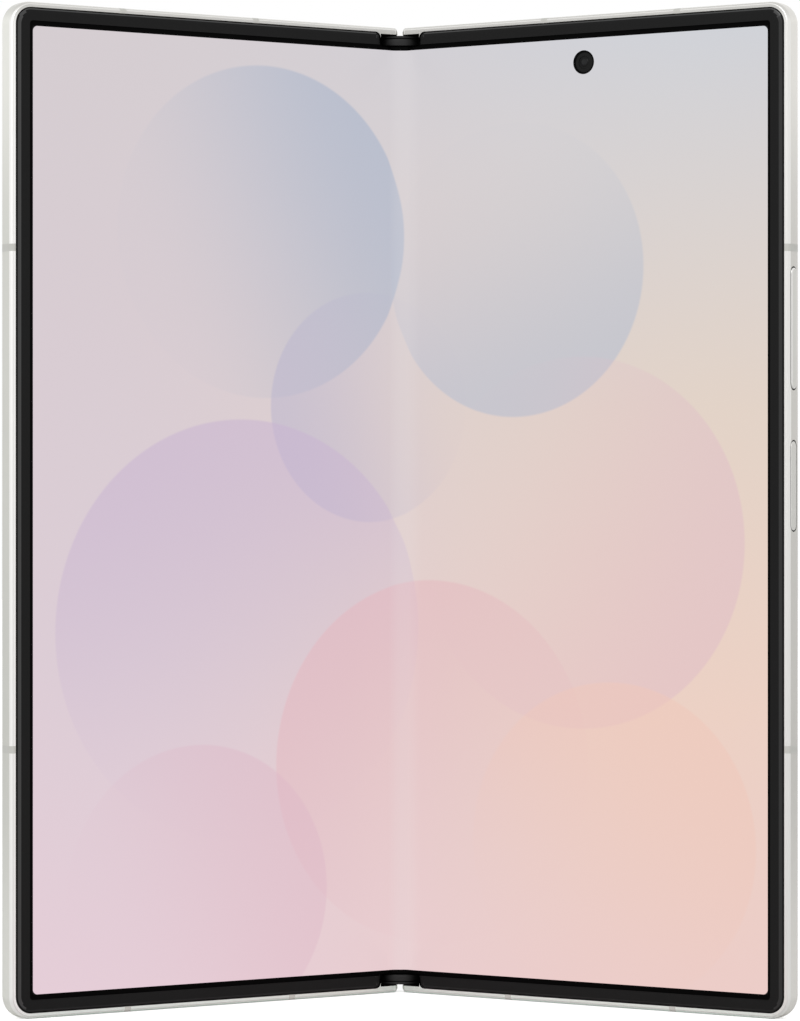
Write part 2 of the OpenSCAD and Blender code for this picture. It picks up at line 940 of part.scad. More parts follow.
module flash_led() {
    color("#f0e6c0") right_half()
        barrel(flash_u, flash_z, glass_w - 0.6, thick, flash_r);
}

module selfie_camera() {
    color("#141414") right_half() {
        barrel(selfie_u, height - selfie_drop, screen_sink + 0.1, ledge_front - 0.4,
               selfie_r - 0.06);
    }
}

// ---- keys -----------------------------------------------------------------

module key(up, length, proud) {
    translate([half_w - wall_t - key_foot, key_mid_w, mid + up])
        rotate([90, 0, 90]) rotate([0, 0, 90]) {
            linear_extrude(wall_t + key_foot + proud)
                slot_shape(length, key_w);
            linear_extrude(flange_t)
                square([length + 2 * flange_rim, key_w], center = true);
        }
}

module volume_key() {
    color("#d8d8d4") right_half() key(volume_up, volume_len, volume_proud);
}

module power_key() {
    color("#c8c8c4") right_half() key(power_up, power_len, 0);
}

module key_flex() {
    flex_u = half_w - ledge_in - 0.95;
    color("#a86a2c") right_half()
        plate(flex_u - 0.15, flex_u, mid + power_up - power_len / 2,
              mid + volume_up + volume_len / 2, deck_back + 0.05,
              key_mid_w + key_w / 2);
}

// ---- inside the halves ----------------------------------------------------

module cell(foot, cell_h) {
    color("#3a3a3c") round_plate(cell_u, cell_u + cell_w, foot, foot + cell_h,
                                 board_w, board_w + cell_t, 1);
}

module right_battery() { right_half() cell(right_cell_foot, right_cell_h); }
module left_battery() { left_half() cell(left_cell_foot, left_cell_h); }

module main_board() {
    u1 = island_u - ring_r - 0.5;
    color("#1f5a3c") right_half() difference() {
        union() {
            plate(board_u, u1, main_foot, main_foot + main_board_h, board_w,
                  board_back);
            plate(u1 - eps, inner_u - 1.2, main_foot,
                  island_z - lens_pitch - ring_r - 1, board_w, board_back);
        }
        barrel(selfie_u, height - selfie_drop, 0, thick, selfie_r + 0.3);
        screw_holes();
    }
}

module shield_cans() {
    can_front = board_back + glue;
    can_back = ledge_front - 0.3;
    next_u = can_u + big_can[0] + can_gap;
    top_z = height - can_drop;
    color("#b4b6b8") right_half() {
        plate(can_u, can_u + big_can[0], top_z - big_can[1], top_z,
              can_front, can_back);
        plate(next_u, next_u + small_can[0], top_z - 4 - small_can[1],
              top_z - 4, can_front, can_back);
    }
}

module sub_board() {
    color("#1f5a3c") left_half() difference() {
        plate(board_u, tray_u - tray_w / 2 - 1, sub_foot,
              sub_foot + sub_board_h, board_w, board_back);
        barrel(cover_cam_u, cover_cam_z, 0, thick, cover_cam_r + 0.6);
        plate(ear_u - ear_w / 2 - 1, ear_u + ear_w / 2 + 1,
              height - ear_drop - 0.2, height, 0, thick);
        screw_holes();
    }
}

module board_screws() {
    color("#c0c0bc") for (s = screw_spots) {
        barrel(s[0], height - s[1], deck_w + 0.05, board_back, screw_r);
        barrel(s[0], height - s[1], board_back, board_back + 0.45,
               screw_r + 0.4);
    }
}

module left_board_screws() { left_half() board_screws(); }
module right_board_screws() { right_half() board_screws(); }

module wireless_coil() {
    color("#b06a3a") right_half()
        translate([cell_u + cell_w / 2, ledge_front - 0.15,
                   right_cell_foot + right_cell_h / 2])
            rotate([-90, 0, 0]) ring(coil_r / 2, coil_r, coil_t);
}

module heat_spreader() {
    color("#4a4a4c") right_half()
        plate(cell_u, cell_u + cell_w, right_cell_foot,
              right_cell_foot + right_cell_h, deck_back + glue, bed_w);
}

module left_magnets() { left_half() magnets(); }
module right_magnets() { right_half() magnets(); }

module magnets() {
    color("#8e8e90") for (z = magnet_z)
        plate(magnet_u, magnet_u + magnet_w, z, z + magnet_h,
              deck_back + glue, ledge_front - 0.6);
}

module loudspeaker() {
    color("#2c2c2e") right_half()
        plate(speaker_u, speaker_u + speaker_w, ledge_in + 0.2, speaker_h,
              bed_w, ledge_front - 0.1);
}

module earpiece() {
    color("#2c2c2e") left_half()
        plate(ear_u - ear_w / 2, ear_u + ear_w / 2, height - ear_drop,
              height - ledge_in - 0.2,
              bed_w, ledge_front - 0.1);
}

module vibration_motor() {
    color("#a0a0a2") left_half()
        round_plate(motor_u, motor_u + motor_w, motor_foot,
                    motor_foot + motor_h, bed_w, ledge_front - 0.2, 2);
}

// ---- port -----------------------------------------------------------------

module usb_port_shell() {
    color("#b8babc") right_half() translate([port_u, port_mid_w, wall_t])
        difference() {
            linear_extrude(port_depth - wall_t + shell_floor)
                slot_shape(port_w + 2 * shell_t, port_h + 2 * shell_t);
            translate([0, 0, -1]) linear_extrude(port_depth - wall_t + 1)
                slot_shape(port_w, port_h);
        }
}

module usb_tongue() {
    color("#3c3c3e") right_half()
        plate(port_u - tongue_w / 2, port_u + tongue_w / 2, tongue_foot,
              port_depth, port_mid_w - tongue_t / 2, port_mid_w + tongue_t / 2);
}

// ---- card tray ------------------------------------------------------------

module tray_place() {
    left_half() translate([tray_u, tray_mid_w, height]) children();
}

module sim_tray() {
    color("#dededa") tray_place() difference() {
        union() {
            translate([0, 0, -wall_t]) linear_extrude(wall_t)
                slot_shape(tray_w, tray_head_t);
            translate([-sled_w / 2, -tray_t / 2, -tray_len])
                cube([sled_w, tray_t, tray_len - wall_t + eps]);
        }
        translate([-card_w / 2 - fit, -tray_t, -card_drop - card_len - 2 * fit])
            cube([card_w + 2 * fit, tray_t + card_t / 2, card_len + 2 * fit]);
        translate([sled_w / 2 - 0.8, 0, -tray_len - 1])
            cylinder(r = 0.4, h = tray_len + 2);
    }
}

module sim_card() {
    color("#e8e8e8") tray_place()
        translate([-card_w / 2, card_t / 2 - card_t - 0.01,
                   -card_drop - card_len - fit])
            cube([card_w, card_t, card_len]);
}

module sim_reader() {
    reader_t = 0.2;
    gap = fit + 0.1;
    color("#b4b6b8") tray_place()
        translate([0, 0, -tray_len - 0.6]) difference() {
            translate([-sled_w / 2 - gap - reader_t, -tray_t / 2 - gap - reader_t, 0])
                cube([sled_w + 2 * (gap + reader_t),
                      tray_t + 2 * (gap + reader_t), tray_len - ledge_in]);
            translate([-sled_w / 2 - gap, -tray_t / 2 - gap, 0.3])
                cube([sled_w + 2 * gap, tray_t + 2 * gap, tray_len]);
        }
}

// ---- drawing --------------------------------------------------------------

left_frame();
right_frame();
left_bezel();
right_bezel();
left_radio_breaks();
right_radio_breaks();
inner_display_left();
inner_display_right();
display_fold_zone();
spine_cover();
spine_end_caps();
hinge_base_blocks();
hinge_block_screws();
gear_shafts();
idler_gear_a();
idler_gear_b();
left_sync_arm();
right_sync_arm();
disc_springs();
hinge_flex_cable();
left_rotators();
right_rotators();
left_hinge_screws();
right_hinge_screws();
cover_glass();
cover_display_panel();
cover_camera();
rear_glass();
camera_island();
lens_rings();
lens_glass();
camera_modules();
flash_led();
selfie_camera();
volume_key();
power_key();
key_flex();
left_battery();
right_battery();
main_board();
shield_cans();
sub_board();
wireless_coil();
heat_spreader();
usb_port_shell();
usb_tongue();
loudspeaker();
earpiece();
vibration_motor();
sim_tray();
sim_card();
sim_reader();
left_magnets();
right_magnets();
left_board_screws();
right_board_screws();
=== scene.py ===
# %% [markdown]
# # A folding phone, standing half open
#
# This lesson dresses a finished construction model. The construction comes in as a fixed frame:
# every piece below is modelled in Blender and takes its sizes from that frame, and each piece
# but the two screen sheets rides on one of its bodies. Each half of the phone is modelled lying
# flat, in millimetres, and is turned about its fold axis last.

# %% Load the fixed frame
import json
import math

import bpy
import numpy as np
from mathutils import Matrix, Vector


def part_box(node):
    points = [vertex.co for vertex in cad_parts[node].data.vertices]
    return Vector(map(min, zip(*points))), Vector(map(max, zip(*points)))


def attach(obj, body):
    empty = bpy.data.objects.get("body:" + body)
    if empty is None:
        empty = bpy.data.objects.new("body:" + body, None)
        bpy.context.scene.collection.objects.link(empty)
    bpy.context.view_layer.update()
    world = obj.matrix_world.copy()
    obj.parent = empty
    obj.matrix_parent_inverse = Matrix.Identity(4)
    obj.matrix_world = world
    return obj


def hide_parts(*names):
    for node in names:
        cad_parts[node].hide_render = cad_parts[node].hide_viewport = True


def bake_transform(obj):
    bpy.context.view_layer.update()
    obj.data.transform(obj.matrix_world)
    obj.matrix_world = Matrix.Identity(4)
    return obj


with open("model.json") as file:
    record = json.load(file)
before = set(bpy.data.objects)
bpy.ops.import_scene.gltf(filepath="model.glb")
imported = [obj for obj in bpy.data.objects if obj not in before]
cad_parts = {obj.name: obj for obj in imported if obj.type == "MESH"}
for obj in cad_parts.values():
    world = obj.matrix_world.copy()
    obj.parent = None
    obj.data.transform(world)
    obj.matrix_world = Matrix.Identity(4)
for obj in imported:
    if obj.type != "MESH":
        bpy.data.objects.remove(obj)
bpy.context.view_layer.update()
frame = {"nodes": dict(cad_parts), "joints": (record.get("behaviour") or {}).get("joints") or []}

# %% [markdown]
# ## Measures
#
# A half that stands turned is awkward to measure, so its nodes are first
# unfolded in numbers: mirrored to the right if need be, and turned back about
# the fold axis. In that flat view u runs out from the fold, w runs back from
# the front plane and z runs up, all in millimetres.

# %% Unfold a node and read its box
fold = next(joint for joint in frame["joints"] if joint["name"] == "right_fold")
axis_x, axis_y = [1000 * v for v in fold["pos_m"][:2]]
rest_turn = math.radians(-fold["range_deg"][0])


def unfolded(node):
    points = 1000 * np.array([v.co for v in frame["nodes"][node].data.vertices])
    if points[:, 0].mean() < 0:
        points[:, 0] *= -1
    du, dw = points[:, 0] - axis_x, points[:, 1] - axis_y
    c, s = math.cos(rest_turn), math.sin(rest_turn)
    points[:, 0] = axis_x + c * du - s * dw
    points[:, 1] = axis_y + s * du + c * dw
    return points


lip_u, front_y, _ = unfolded("right_frame").min(0)
half_w, back_y, height = unfolded("right_frame").max(0)
thick, axis_w = back_y - front_y, axis_y - front_y


def flat(node):
    """The low and the high corner of a node's box in the flat view."""
    points = unfolded(node) - (0, front_y, 0)
    return points.min(0), points.max(0)


print("half", *[round(v, 3) for v in (half_w, height, thick)], "mm; fold axis at",
      round(axis_x, 3), round(axis_w, 3), "mm; rest turn",
      round(math.degrees(rest_turn), 2), "degrees")

# %% [markdown]
# ## The camera
#
# The phone is seen from straight in front, level with its middle, through a
# long lens: the outer edges come forward, so they look only a little taller
# than the hinge. The camera is set first, because every later look depends
# on it.

# %% Set the camera
view_back, view_up = 0.66526, 0.0792
camera = bpy.data.objects.new("camera", bpy.data.cameras.new("camera"))
bpy.context.collection.objects.link(camera)
camera.location = (0, -view_back, view_up)
camera.rotation_euler = (math.pi / 2, 0, 0)
camera.data.lens = 146.45
camera.data.sensor_width = 36
camera.data.shift_y = -0.00034
camera.data.clip_start = 0.01
bpy.context.scene.camera = camera
print("camera", tuple(camera.location), "lens", camera.data.lens)

# %% [markdown]
# ## Hand tools
#
# Everything starts as a primitive at its size and place. The helpers below do
# what a hand does in edit mode: pick edges or faces by where they are, bevel
# or inset them, and cut one piece with another. Modelling in millimetres keeps
# tiny bevels far away from Blender's own rounding limits.

# %% Primitives at their size and place
def alone(piece):
    bpy.ops.object.select_all(action="DESELECT")
    piece.select_set(True)
    bpy.context.view_layer.objects.active = piece


def primitive(name, add, **facts):
    bpy.ops.object.select_all(action="DESELECT")
    add(**facts)
    bpy.ops.object.transform_apply(location=True, rotation=True, scale=True)
    bpy.context.object.name = bpy.context.object.data.name = name
    return bpy.context.object


def block(name, low, high):
    low, high = Vector(low), Vector(high)
    return primitive(name, bpy.ops.mesh.primitive_cube_add, size=1,
                     location=(low + high) / 2, scale=high - low)


def barrel(name, u, z, w0, w1, radius, sides=64):
    """A round bar that runs from front to back."""
    return primitive(name, bpy.ops.mesh.primitive_cylinder_add, vertices=sides,
                     radius=radius, depth=w1 - w0, location=(u, (w0 + w1) / 2, z),
                     rotation=(-math.pi / 2, 0, 0))


def post(name, u, w, z0, z1, radius, sides=64):
    """A round bar that stands upright."""
    return primitive(name, bpy.ops.mesh.primitive_cylinder_add, vertices=sides,
                     radius=radius, depth=z1 - z0, location=(u, w, (z0 + z1) / 2))


# %% Pick by place, then edit
def edit(piece, kind, test, *steps):
    """Runs steps on the vertices, edges or faces for which test is true."""
    alone(piece)
    mesh = piece.data
    for items in (mesh.vertices, mesh.edges, mesh.polygons):
        items.foreach_set("select", [False] * len(items))
    if kind == "FACE":
        picked = [f for f in mesh.polygons if test(f.center, f.normal)]
    elif kind == "EDGE":
        picked = [e for e in mesh.edges
                  if test(*[mesh.vertices[i].co for i in e.vertices])]
    else:
        picked = [v for v in mesh.vertices if test(v.co)]
    for item in picked:
        item.select = True
    bpy.context.tool_settings.mesh_select_mode = (
        kind == "VERT", kind == "EDGE", kind == "FACE")
    bpy.ops.object.mode_set(mode="EDIT")
    if picked:
        for step in steps:
            step()
    bpy.ops.object.mode_set(mode="OBJECT")


def everywhere(piece, *steps):
    edit(piece, "FACE", lambda c, n: True, *steps)


def face_out():
    bpy.ops.mesh.normals_make_consistent(inside=False)


def tidy_mesh(piece, reach=0.0005):
    everywhere(piece, lambda: bpy.ops.mesh.remove_doubles(threshold=reach), face_out)


def split_at(piece, spot, way):
    everywhere(piece, lambda: bpy.ops.mesh.bisect(plane_co=spot, plane_no=way))


def shift(piece, test, way):
    edit(piece, "VERT", test, lambda: bpy.ops.transform.translate(value=way))


def round_over(piece, test, radius, steps):
    edit(piece, "EDGE", test, lambda: bpy.ops.mesh.bevel(
        offset=radius, segments=steps, affect="EDGES"))


def inset_steps(piece, test, steps):
    """Insets faces again and again: (how far in, how far out) each time."""
    edit(piece, "FACE", test, *[
        lambda s=s: bpy.ops.mesh.inset(thickness=s[0], depth=s[1]) for s in steps])


# %% Tests for edges
def near(a, b, slack=0.004):
    return abs(a - b) < slack


def along(axis):
    """Edges that run along one axis."""
    return lambda a, b: abs((b - a)[axis]) > 0.999 * (b - a).length


def through(u):
    """Edges that run from front to back at u."""
    return lambda a, b: along(1)(a, b) and near(a.x, u)


def level(axis, place):
    """Edges that lie at one place on an axis."""
    return lambda a, b: near(a[axis], place) and near(b[axis], place)


# %% Cut, join and copy
def combine(piece, *tools, how="DIFFERENCE"):
    for tool in tools:
        alone(piece)
        step = piece.modifiers.new("cut", "BOOLEAN")
        step.operation, step.solver, step.object = how, "EXACT", tool
        bpy.ops.object.modifier_apply(modifier=step.name)
        bpy.data.objects.remove(tool)
    return piece


def joined(name, *parts):
    alone(parts[0])
    for part in parts:
        part.select_set(True)
    bpy.ops.object.join()
    parts[0].name = parts[0].data.name = name
    return parts[0]


def twin(piece, name):
    copy = piece.copy()
    copy.data = piece.data.copy()
    copy.name = copy.data.name = name
    bpy.context.collection.objects.link(copy)
    return copy


# %% Rounded boxes and slots
def rounded_block(name, low, high, radius, steps=10, outer_only=True):
    """A box whose corners are round as seen from the front."""
    piece = block(name, low, high)
    round_over(piece, through(high[0]) if outer_only else along(1), radius, steps)
    return piece


def slot_block(name, low, high, across):
    """A bar with round ends, seen along the axis `across`."""
    piece = block(name, low, high)
    sides = [high[i] - low[i] for i in range(3) if i != across]
    round_over(piece, along(across), min(sides) / 2, 10)
    tidy_mesh(piece, 0.002)
    return piece


# %% [markdown]
# ## Putting a piece in its place
#
# A finished piece is turned about the fold axis and shrunk from millimetres to
# metres, and that is applied, so its object ends at the origin. A left piece
# is the mirror of a right one: mirroring turns a mesh inside out, so its
# normals are worked out again. Weighted normals keep wide faces flat beside
# small rounded edges.

# %% Turn, mirror and shade
to_metres = Matrix.Scale(0.001, 4)
turned = (Matrix.Translation((axis_x, axis_y, 0)) @ Matrix.Rotation(-rest_turn, 4, "Z")
          @ Matrix.Translation((-axis_x, -axis_w, 0)))
right_place = to_metres @ turned
left_place = to_metres @ Matrix.Diagonal((-1, 1, 1, 1)) @ turned
places = {
    "right_half": right_place, "volume_rocker": right_place,
    "power_button": right_place, "left_half": left_place, "card_tray": left_place,
    "spine": to_metres @ Matrix.Translation((0, front_y, 0)),
}


def shade(piece, angle):
    alone(piece)
    bpy.ops.object.shade_smooth_by_angle(angle=math.radians(angle))
    step = piece.modifiers.new("even", "WEIGHTED_NORMAL")
    step.keep_sharp = True
    bpy.ops.object.modifier_apply(modifier=step.name)


def deliver(piece, body, slot, *nodes, angle=32):
    """Moves a flat piece to its real place, where it stands for its nodes."""
    tidy_mesh(piece)
    piece.matrix_world = places[body]
    alone(piece)
    bpy.ops.object.transform_apply(location=True, rotation=True, scale=True)
    if places[body] is left_place:
        everywhere(piece, face_out)
    shade(piece, angle)
    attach(piece, body)
    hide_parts(*nodes)
    print(f"{piece.name}: {len(piece.data.polygons)} faces, rides on {body}")


def coat(piece, *finishes):
    piece.data.materials.clear()
    for finish in finishes:
        piece.data.materials.append(finish)


def paint(piece, choose):
    """Gives each face the finish whose number choose finds for it."""
    for face in piece.data.polygons:
        face.material_index = int(choose(face.center, face.normal))


# %% [markdown]
# ## Finishes
#
# The phone's colour is a warm silver. A finish is built from Blender's own
# noise in the real scale of the surface: blasted and anodised aluminium has a
# grain of a few hundredths of a millimetre, so its scale counts thousands of
# cells to the metre. Each finish reads Object coordinates, so the grain stays
# with its piece as the phone folds.

# %% Colours as they are written, and a bare finish
def tone(r, g, b):
    """A colour as 0 to 255 screen values, turned into linear light."""
    return tuple(((v / 255 + 0.055) / 1.055) ** 2.4 if v > 10 else v / 255 / 12.92
                 for v in (r, g, b)) + (1,)


def dim(colour, share):
    return tuple(v * share for v in colour[:3]) + (1,)


class Nodes:
    """A node tree, with short words for adding to it."""

    def __init__(self, owner, main):
        owner.use_nodes = True
        self.tree = owner.node_tree
        self.main = self.tree.nodes[main]

    def join(self, value, socket):
        """Puts a plain value or another node's output into a socket."""
        if isinstance(value, bpy.types.NodeSocket):
            self.tree.links.new(value, socket)
        else:
            socket.default_value = value

    def feed(self, socket, value):
        self.join(value, self.main.inputs[socket])

    def add(self, kind, **settings):
        node = self.tree.nodes.new("ShaderNode" + kind)
        for key, value in settings.items():
            if hasattr(node, key):
                setattr(node, key, value)
            else:
                self.join(value, node.inputs[key.replace("_", " ")])
        return node

    def sum(self, kind, a, b=0):
        node = self.add("Math", operation=kind)
        self.join(a, node.inputs[0])
        self.join(b, node.inputs[1])
        return node.outputs[0]


class Finish(Nodes):
    """A material with one Principled surface."""

    def __init__(self, name, colour, rough, metal=0.0, gloss=0.5, **more):
        self.material = bpy.data.materials.new(name)
        super().__init__(self.material, "Principled BSDF")
        for socket, value in {"Base Color": colour, "Roughness": rough,
                              "Metallic": metal, "Specular IOR Level": gloss,
                              **more}.items():
            self.feed(socket.replace("_", " "), value)

    def place(self, scale=(1, 1, 1), shift=(0, 0, 0)):
        return self.add("Mapping", Scale=scale, Location=shift,
                        Vector=self.add("TexCoord").outputs["Object"]).outputs[0]

    def parts(self, vector):
        return self.add("SeparateXYZ", Vector=vector).outputs

    def noise(self, where, scale, detail=3):
        return self.add("TexNoise", Vector=where, Scale=scale, Detail=detail,
                        Roughness=0.6).outputs["Fac"]

    def span(self, value, low, high, start=0.0, end=1.0, kind="LINEAR"):
        return self.add("MapRange", interpolation_type=kind, Value=value, To_Min=low,
                        To_Max=high, From_Min=start, From_Max=end).outputs["Result"]

    def ease(self, value, low, high, start, end):
        return self.span(value, low, high, start, end, "SMOOTHSTEP")

    def length(self, a, b):
        squares = [self.sum("MULTIPLY", v, v) for v in (a, b)]
        return self.sum("SQRT", self.sum("ADD", *squares))

    def blend(self, share, a, b):
        node = self.add("Mix", data_type="RGBA", Factor=share)
        self.join(a, node.inputs[6])
        self.join(b, node.inputs[7])
        return node.outputs[2]

    def bump(self, height, strength, depth):
        self.feed("Normal", self.add("Bump", Height=height, Strength=strength,
                                     Distance=depth).outputs["Normal"])


def grained(name, colour, rough, metal=0.0, gloss=0.5, grain=9000, detail=4, cloud=60,
            dark=0.94, swing=0.05, up=None, lift=0.15, depth=0.00001,
            scale=(1, 1, 1), steps=(), **more):
    """Roughness and relief vary with a fine grain, and colour with a cloud.

    A step is (axis, start, end, colour): the colour is reached at `end` mm. Steps lay painted
    light and shade along one axis.
    """
    finish = Finish(name, colour, rough, metal, gloss, **more)
    where = finish.place(scale)
    fine = finish.noise(where, grain, detail)
    broad = finish.noise(where, cloud, 2) if cloud else fine
    paint = finish.blend(broad, dim(colour, dark), colour)
    for axis, start, end, painted_tone in steps:
        share = finish.ease(finish.parts(where)[axis], 0, 1, start / 1000, end / 1000)
        paint = finish.blend(share, paint, painted_tone)
    finish.feed("Base Color", paint)
    finish.feed("Roughness", finish.span(fine, rough - swing,
                                         rough + (swing if up is None else up)))
    if lift:
        finish.bump(fine, lift, depth)
    return finish.material


def brushed(name, colour, rough, way):
    """Metal brushed along one axis: the grain is long that way and fine across."""
    return grained(name, colour, rough, 1.0, grain=1, cloud=0, dark=0.9, swing=0.08,
                   lift=0.2, scale=[40 if i == way else 5200 for i in range(3)])


def clear_coat(name, colour, rough):
    return grained(name, colour, rough, grain=900, detail=3, cloud=0, dark=0.8,
                   swing=0.2 * rough, up=0.6 * rough, lift=0, Coat_Weight=0.6,
                   Coat_Roughness=0.03)


# %% The phone's own finishes, some with painted light and shade
# Painted light: a wall is painted lighter from 120 mm up and from 42 mm down, and darker again
# above 155 mm, as painted highlight and painted shade where the lamps fall.
def painted_light_wall(name, middle, end):
    return grained(name, middle, 0.42, 1.0, steps=[
        (2, 120, 149, end), (2, 42, 4, end), (2, 155, 157.5, dim(end, 0.76))])


# how far out the walls stand at rest, in millimetres
side_x = 62
# The left wall's copy is painted lighter than the right's: lit and shaded copies of one blasted
# silver.
silver_walls_painted_light = {
    "left": painted_light_wall("blasted silver wall with painted light, left", tone(222, 222, 216),
                        tone(237, 237, 231)),
    "right": painted_light_wall("blasted silver wall with painted light, right", tone(213, 211, 206),
                         tone(230, 228, 223)),
}
# Painted light: the rim is painted lighter at the bottom and on the left and right sides, and
# darker along the top, standing in for how the lamps fall on it.
silver_rim = grained("satin silver rim", tone(214, 213, 209), 0.36, 1.0, grain=12000,
                     swing=0.03, lift=0.05, steps=[
                         (2, 9, 1, tone(239, 247, 241)),
                         (0, -side_x + 7.5, -side_x + 1.5, tone(252, 251, 249)),
                         (0, side_x - 7.5, side_x - 1.5, tone(238, 237, 234)),
                         (2, 154.5, 157.4, tone(205, 204, 200))])
# Painted highlight: a brighter silver put on thin edge faces and key crowns to draw their line
# of light.
edge_highlight_silver = grained("bright silver edge, painted highlight", tone(234, 233, 230), 0.36, 1.0,
                      grain=12000, swing=0.03, lift=0.03)
# The frame's inside and the volume key's sides are milled silver painted darker, as painted
# shade in the pockets and gaps.
inside_silver_shade = grained("milled inside, darkened as painted shade", tone(176, 177, 174), 0.48, 1.0, grain=4000,
                        swing=0.08)
radio_plastic = grained("radio break plastic", tone(212, 212, 206), 0.5, gloss=0.3,
                        grain=7000)
soft_black = grained("soft black bezel", tone(27, 27, 27), 0.45, gloss=0.1, grain=8000,
                     swing=0.06, lift=0.1)
# Painted highlight: three glossier copies of the bezel black, put where the shoulder's line of
# light falls.
painted_sheens = [grained(f"black shoulder with painted highlight {gloss}", tone(30, 30, 30), 0.3, gloss=gloss,
                  grain=8000, swing=0.04, lift=0.05) for gloss in (0.75, 0.42, 0.2)]
# Near-black for the small black parts, and also painted shade: put on the bezel's foot, the
# frame's inside beside the fold, the drawn cap slabs and the power key's sides.
deep_black = grained("deep black", tone(4, 4, 4), 0.7, gloss=0.03, grain=6000)
print(len(bpy.data.materials), "materials so far")

# %% [markdown]
# ## The metal frames
#
# The frame of a half is one milled piece of aluminium: a wall round three sides, and a deck that
# the screen lies on. It could be swept from a profile, but a milled part is better made the way
# it is cut. A solid block gets its corners, its front chamfer and its round back edge, and then
# the seats and pockets are cut out of it. The chamfer carries painted light that changes round
# it, with a brighter line at its edge as painted highlight, and the inside faces are painted
# darker as painted shade.

# %% Sizes of a half, in the flat view
# the play between fitted pieces, how far a cutter reaches past a face, and
# how near an end of the frame no side break lies
play, past, far_end = 0.02, 1, 5
corner, chamfer, back_r = 3.6, 0.38, 1.6
bezel_low, bezel_high = flat("right_bezel")
rim = half_w - bezel_high[0] - play
bezel_u, bezel_end_r = bezel_low[0], 0.95
ledge, wall = 2.15, 1.15
seat = bezel_high[1] + play
sheet_low, sheet_high = flat("inner_display_right")
sheet_edge = half_w - sheet_high[0]
overlap = sheet_edge - 0.15
screen_w, screen_back = sheet_low[1], sheet_high[1]
deck_w, deck_back = screen_back + play, screen_back + 0.52
glass_low, glass_high = flat("rear_glass")
glass_w, glass_edge, glass_u = glass_low[1], half_w - glass_high[0] - play, 3.0
room_u, shelf, skirt = 5, 0.3, 1
# how far out and back the windows for the hinge leaves go, and their play
leaf_u, leaf_w, leaf_play = 9.2, 2.35, 0.15
pocket_r = thick - skirt - axis_w
print("rim", round(rim, 3), "seat", round(seat, 3), "deck", round(deck_w, 3),
      "glass", round(glass_w, 3), "pocket", round(pocket_r, 3))


# %% The outside of a half
def inset(p):
    """How far a point lies inside the outline, seen from the front."""
    u, v = p.x - (half_w - corner), max(corner - p.z, p.z - (height - corner))
    if u > 0 and v > 0:
        return corner - math.hypot(u, v)
    return min(half_w - p.x, p.z, height - p.z)


def on_rim(depth, w):
    """Edges of a loop at one inset and one depth, on the three outer sides."""
    return lambda a, b: (level(1, w)(a, b) and near(inset(a), depth, 0.02)
                         and near(inset(b), depth, 0.02))


def half_blank(name):
    blank = block(name, (lip_u, 0, 0), (half_w, thick, height))
    round_over(blank, through(half_w), corner, 14)
    round_over(blank, on_rim(0, 0), chamfer, 1)
    # the back edge beside the fold stays square, close to the hinge's cover
    back = on_rim(0, thick)
    round_over(blank, lambda a, b: back(a, b) and max(a.x, b.x) > lip_u + 0.1,
               back_r, 10)
    round_over(blank, on_rim(chamfer, 0), 0.08, 2)
    round_over(blank, on_rim(0, chamfer), 0.3, 4)
    return round_nose(blank)


def round_nose(blank):
    """The end beside the fold leans away in front, and its corners are round."""
    nose_u, nose_r, nose_back, soft = 1.28, 0.85, 1.46, 0.6
    lean_u = lip_u - nose_u + nose_r
    lean_rate = lean_u / (nose_back - nose_r)
    front = block("front corner", (-2, -2, -1), (nose_u, nose_r, height + 1))
    combine(front, post("keep", nose_u, nose_r, -2, height + 2, nose_r, 96))
    lean = block("lean", (-2, 0.5, -1.5), (nose_u - nose_r - 0.002, nose_back,
                                           height + 1.5))
    split_at(lean, (0, nose_r, 0), (0, 1, 0))
    shift(lean, lambda p: p.x > 0 and p.y > 1, (lean_u - 0.01, 0, 0))
    ends = []
    front_u = nose_u - nose_r - lean_rate * (nose_r + 1)
    for z0, z1, mid in ((-1, soft, soft), (height - soft, height + 1, height - soft)):
        end = block("end corner", (front_u - 2, -1, z0),
                    (front_u + soft, thick + 1, z1))
        combine(end, barrel("keep", front_u + soft, mid, -2, thick + 2, soft))
        shift(end, lambda p: p.y > 1, (lean_rate * (thick + 2), 0, 0))
        ends.append(end)
    combine(blank, front, lean, *ends)
    tidy_mesh(blank, 0.002)
    return blank


# %% Seats and pockets, the same in both halves
def seat_block(name, edge, w0, w1, u0=-1.0):
    return rounded_block(name, (u0, w0, edge), (half_w - edge, w1, height - edge),
                         corner - edge)


def inner_block(name, w0, high_u, high_w):
    """A cutter between the walls, from in front of the fold to a far corner."""
    return block(name, (-1, w0, wall), (high_u, high_w, height - wall))


def half_shell(name):
    bezel_bed = seat_block("bezel seat", rim, -past, seat, u0=bezel_u)
    round_over(bezel_bed, through(bezel_u), bezel_end_r, 8)
    shell = combine(
        half_blank(name), bezel_bed,
        seat_block("screen bed", overlap, -past, deck_w, u0=bezel_u - 0.5),
        inner_block("fold end", -past, bezel_u, deck_w),
        seat_block("glass seat", glass_edge, glass_w, thick + past, u0=glass_u),
        seat_block("ledge", ledge, glass_w - shelf, glass_w + 0.2, u0=room_u),
        seat_block("room", wall, deck_back, glass_w - shelf, u0=room_u),
        post("spine pocket", axis_x, axis_w, wall, height - wall, pocket_r, 96),
        inner_block("spine side", -past, axis_x, axis_w + pocket_r),
        inner_block("clear front", -past, glass_u, 1.0),
    )
    round_over(shell, on_rim(rim, 0), 0.05, 2)
    return shell


# %% Windows for the hinge leaves, and gaps for the radio breaks
def runs(values, gap):
    """The first and last of each run of values, where wider gaps part the runs."""
    values = sorted(values)
    cuts = [i for i in range(1, len(values)) if values[i] - values[i - 1] > gap]
    return [(values[i], values[j - 1]) for i, j in zip([0] + cuts,
                                                       cuts + [len(values)])]


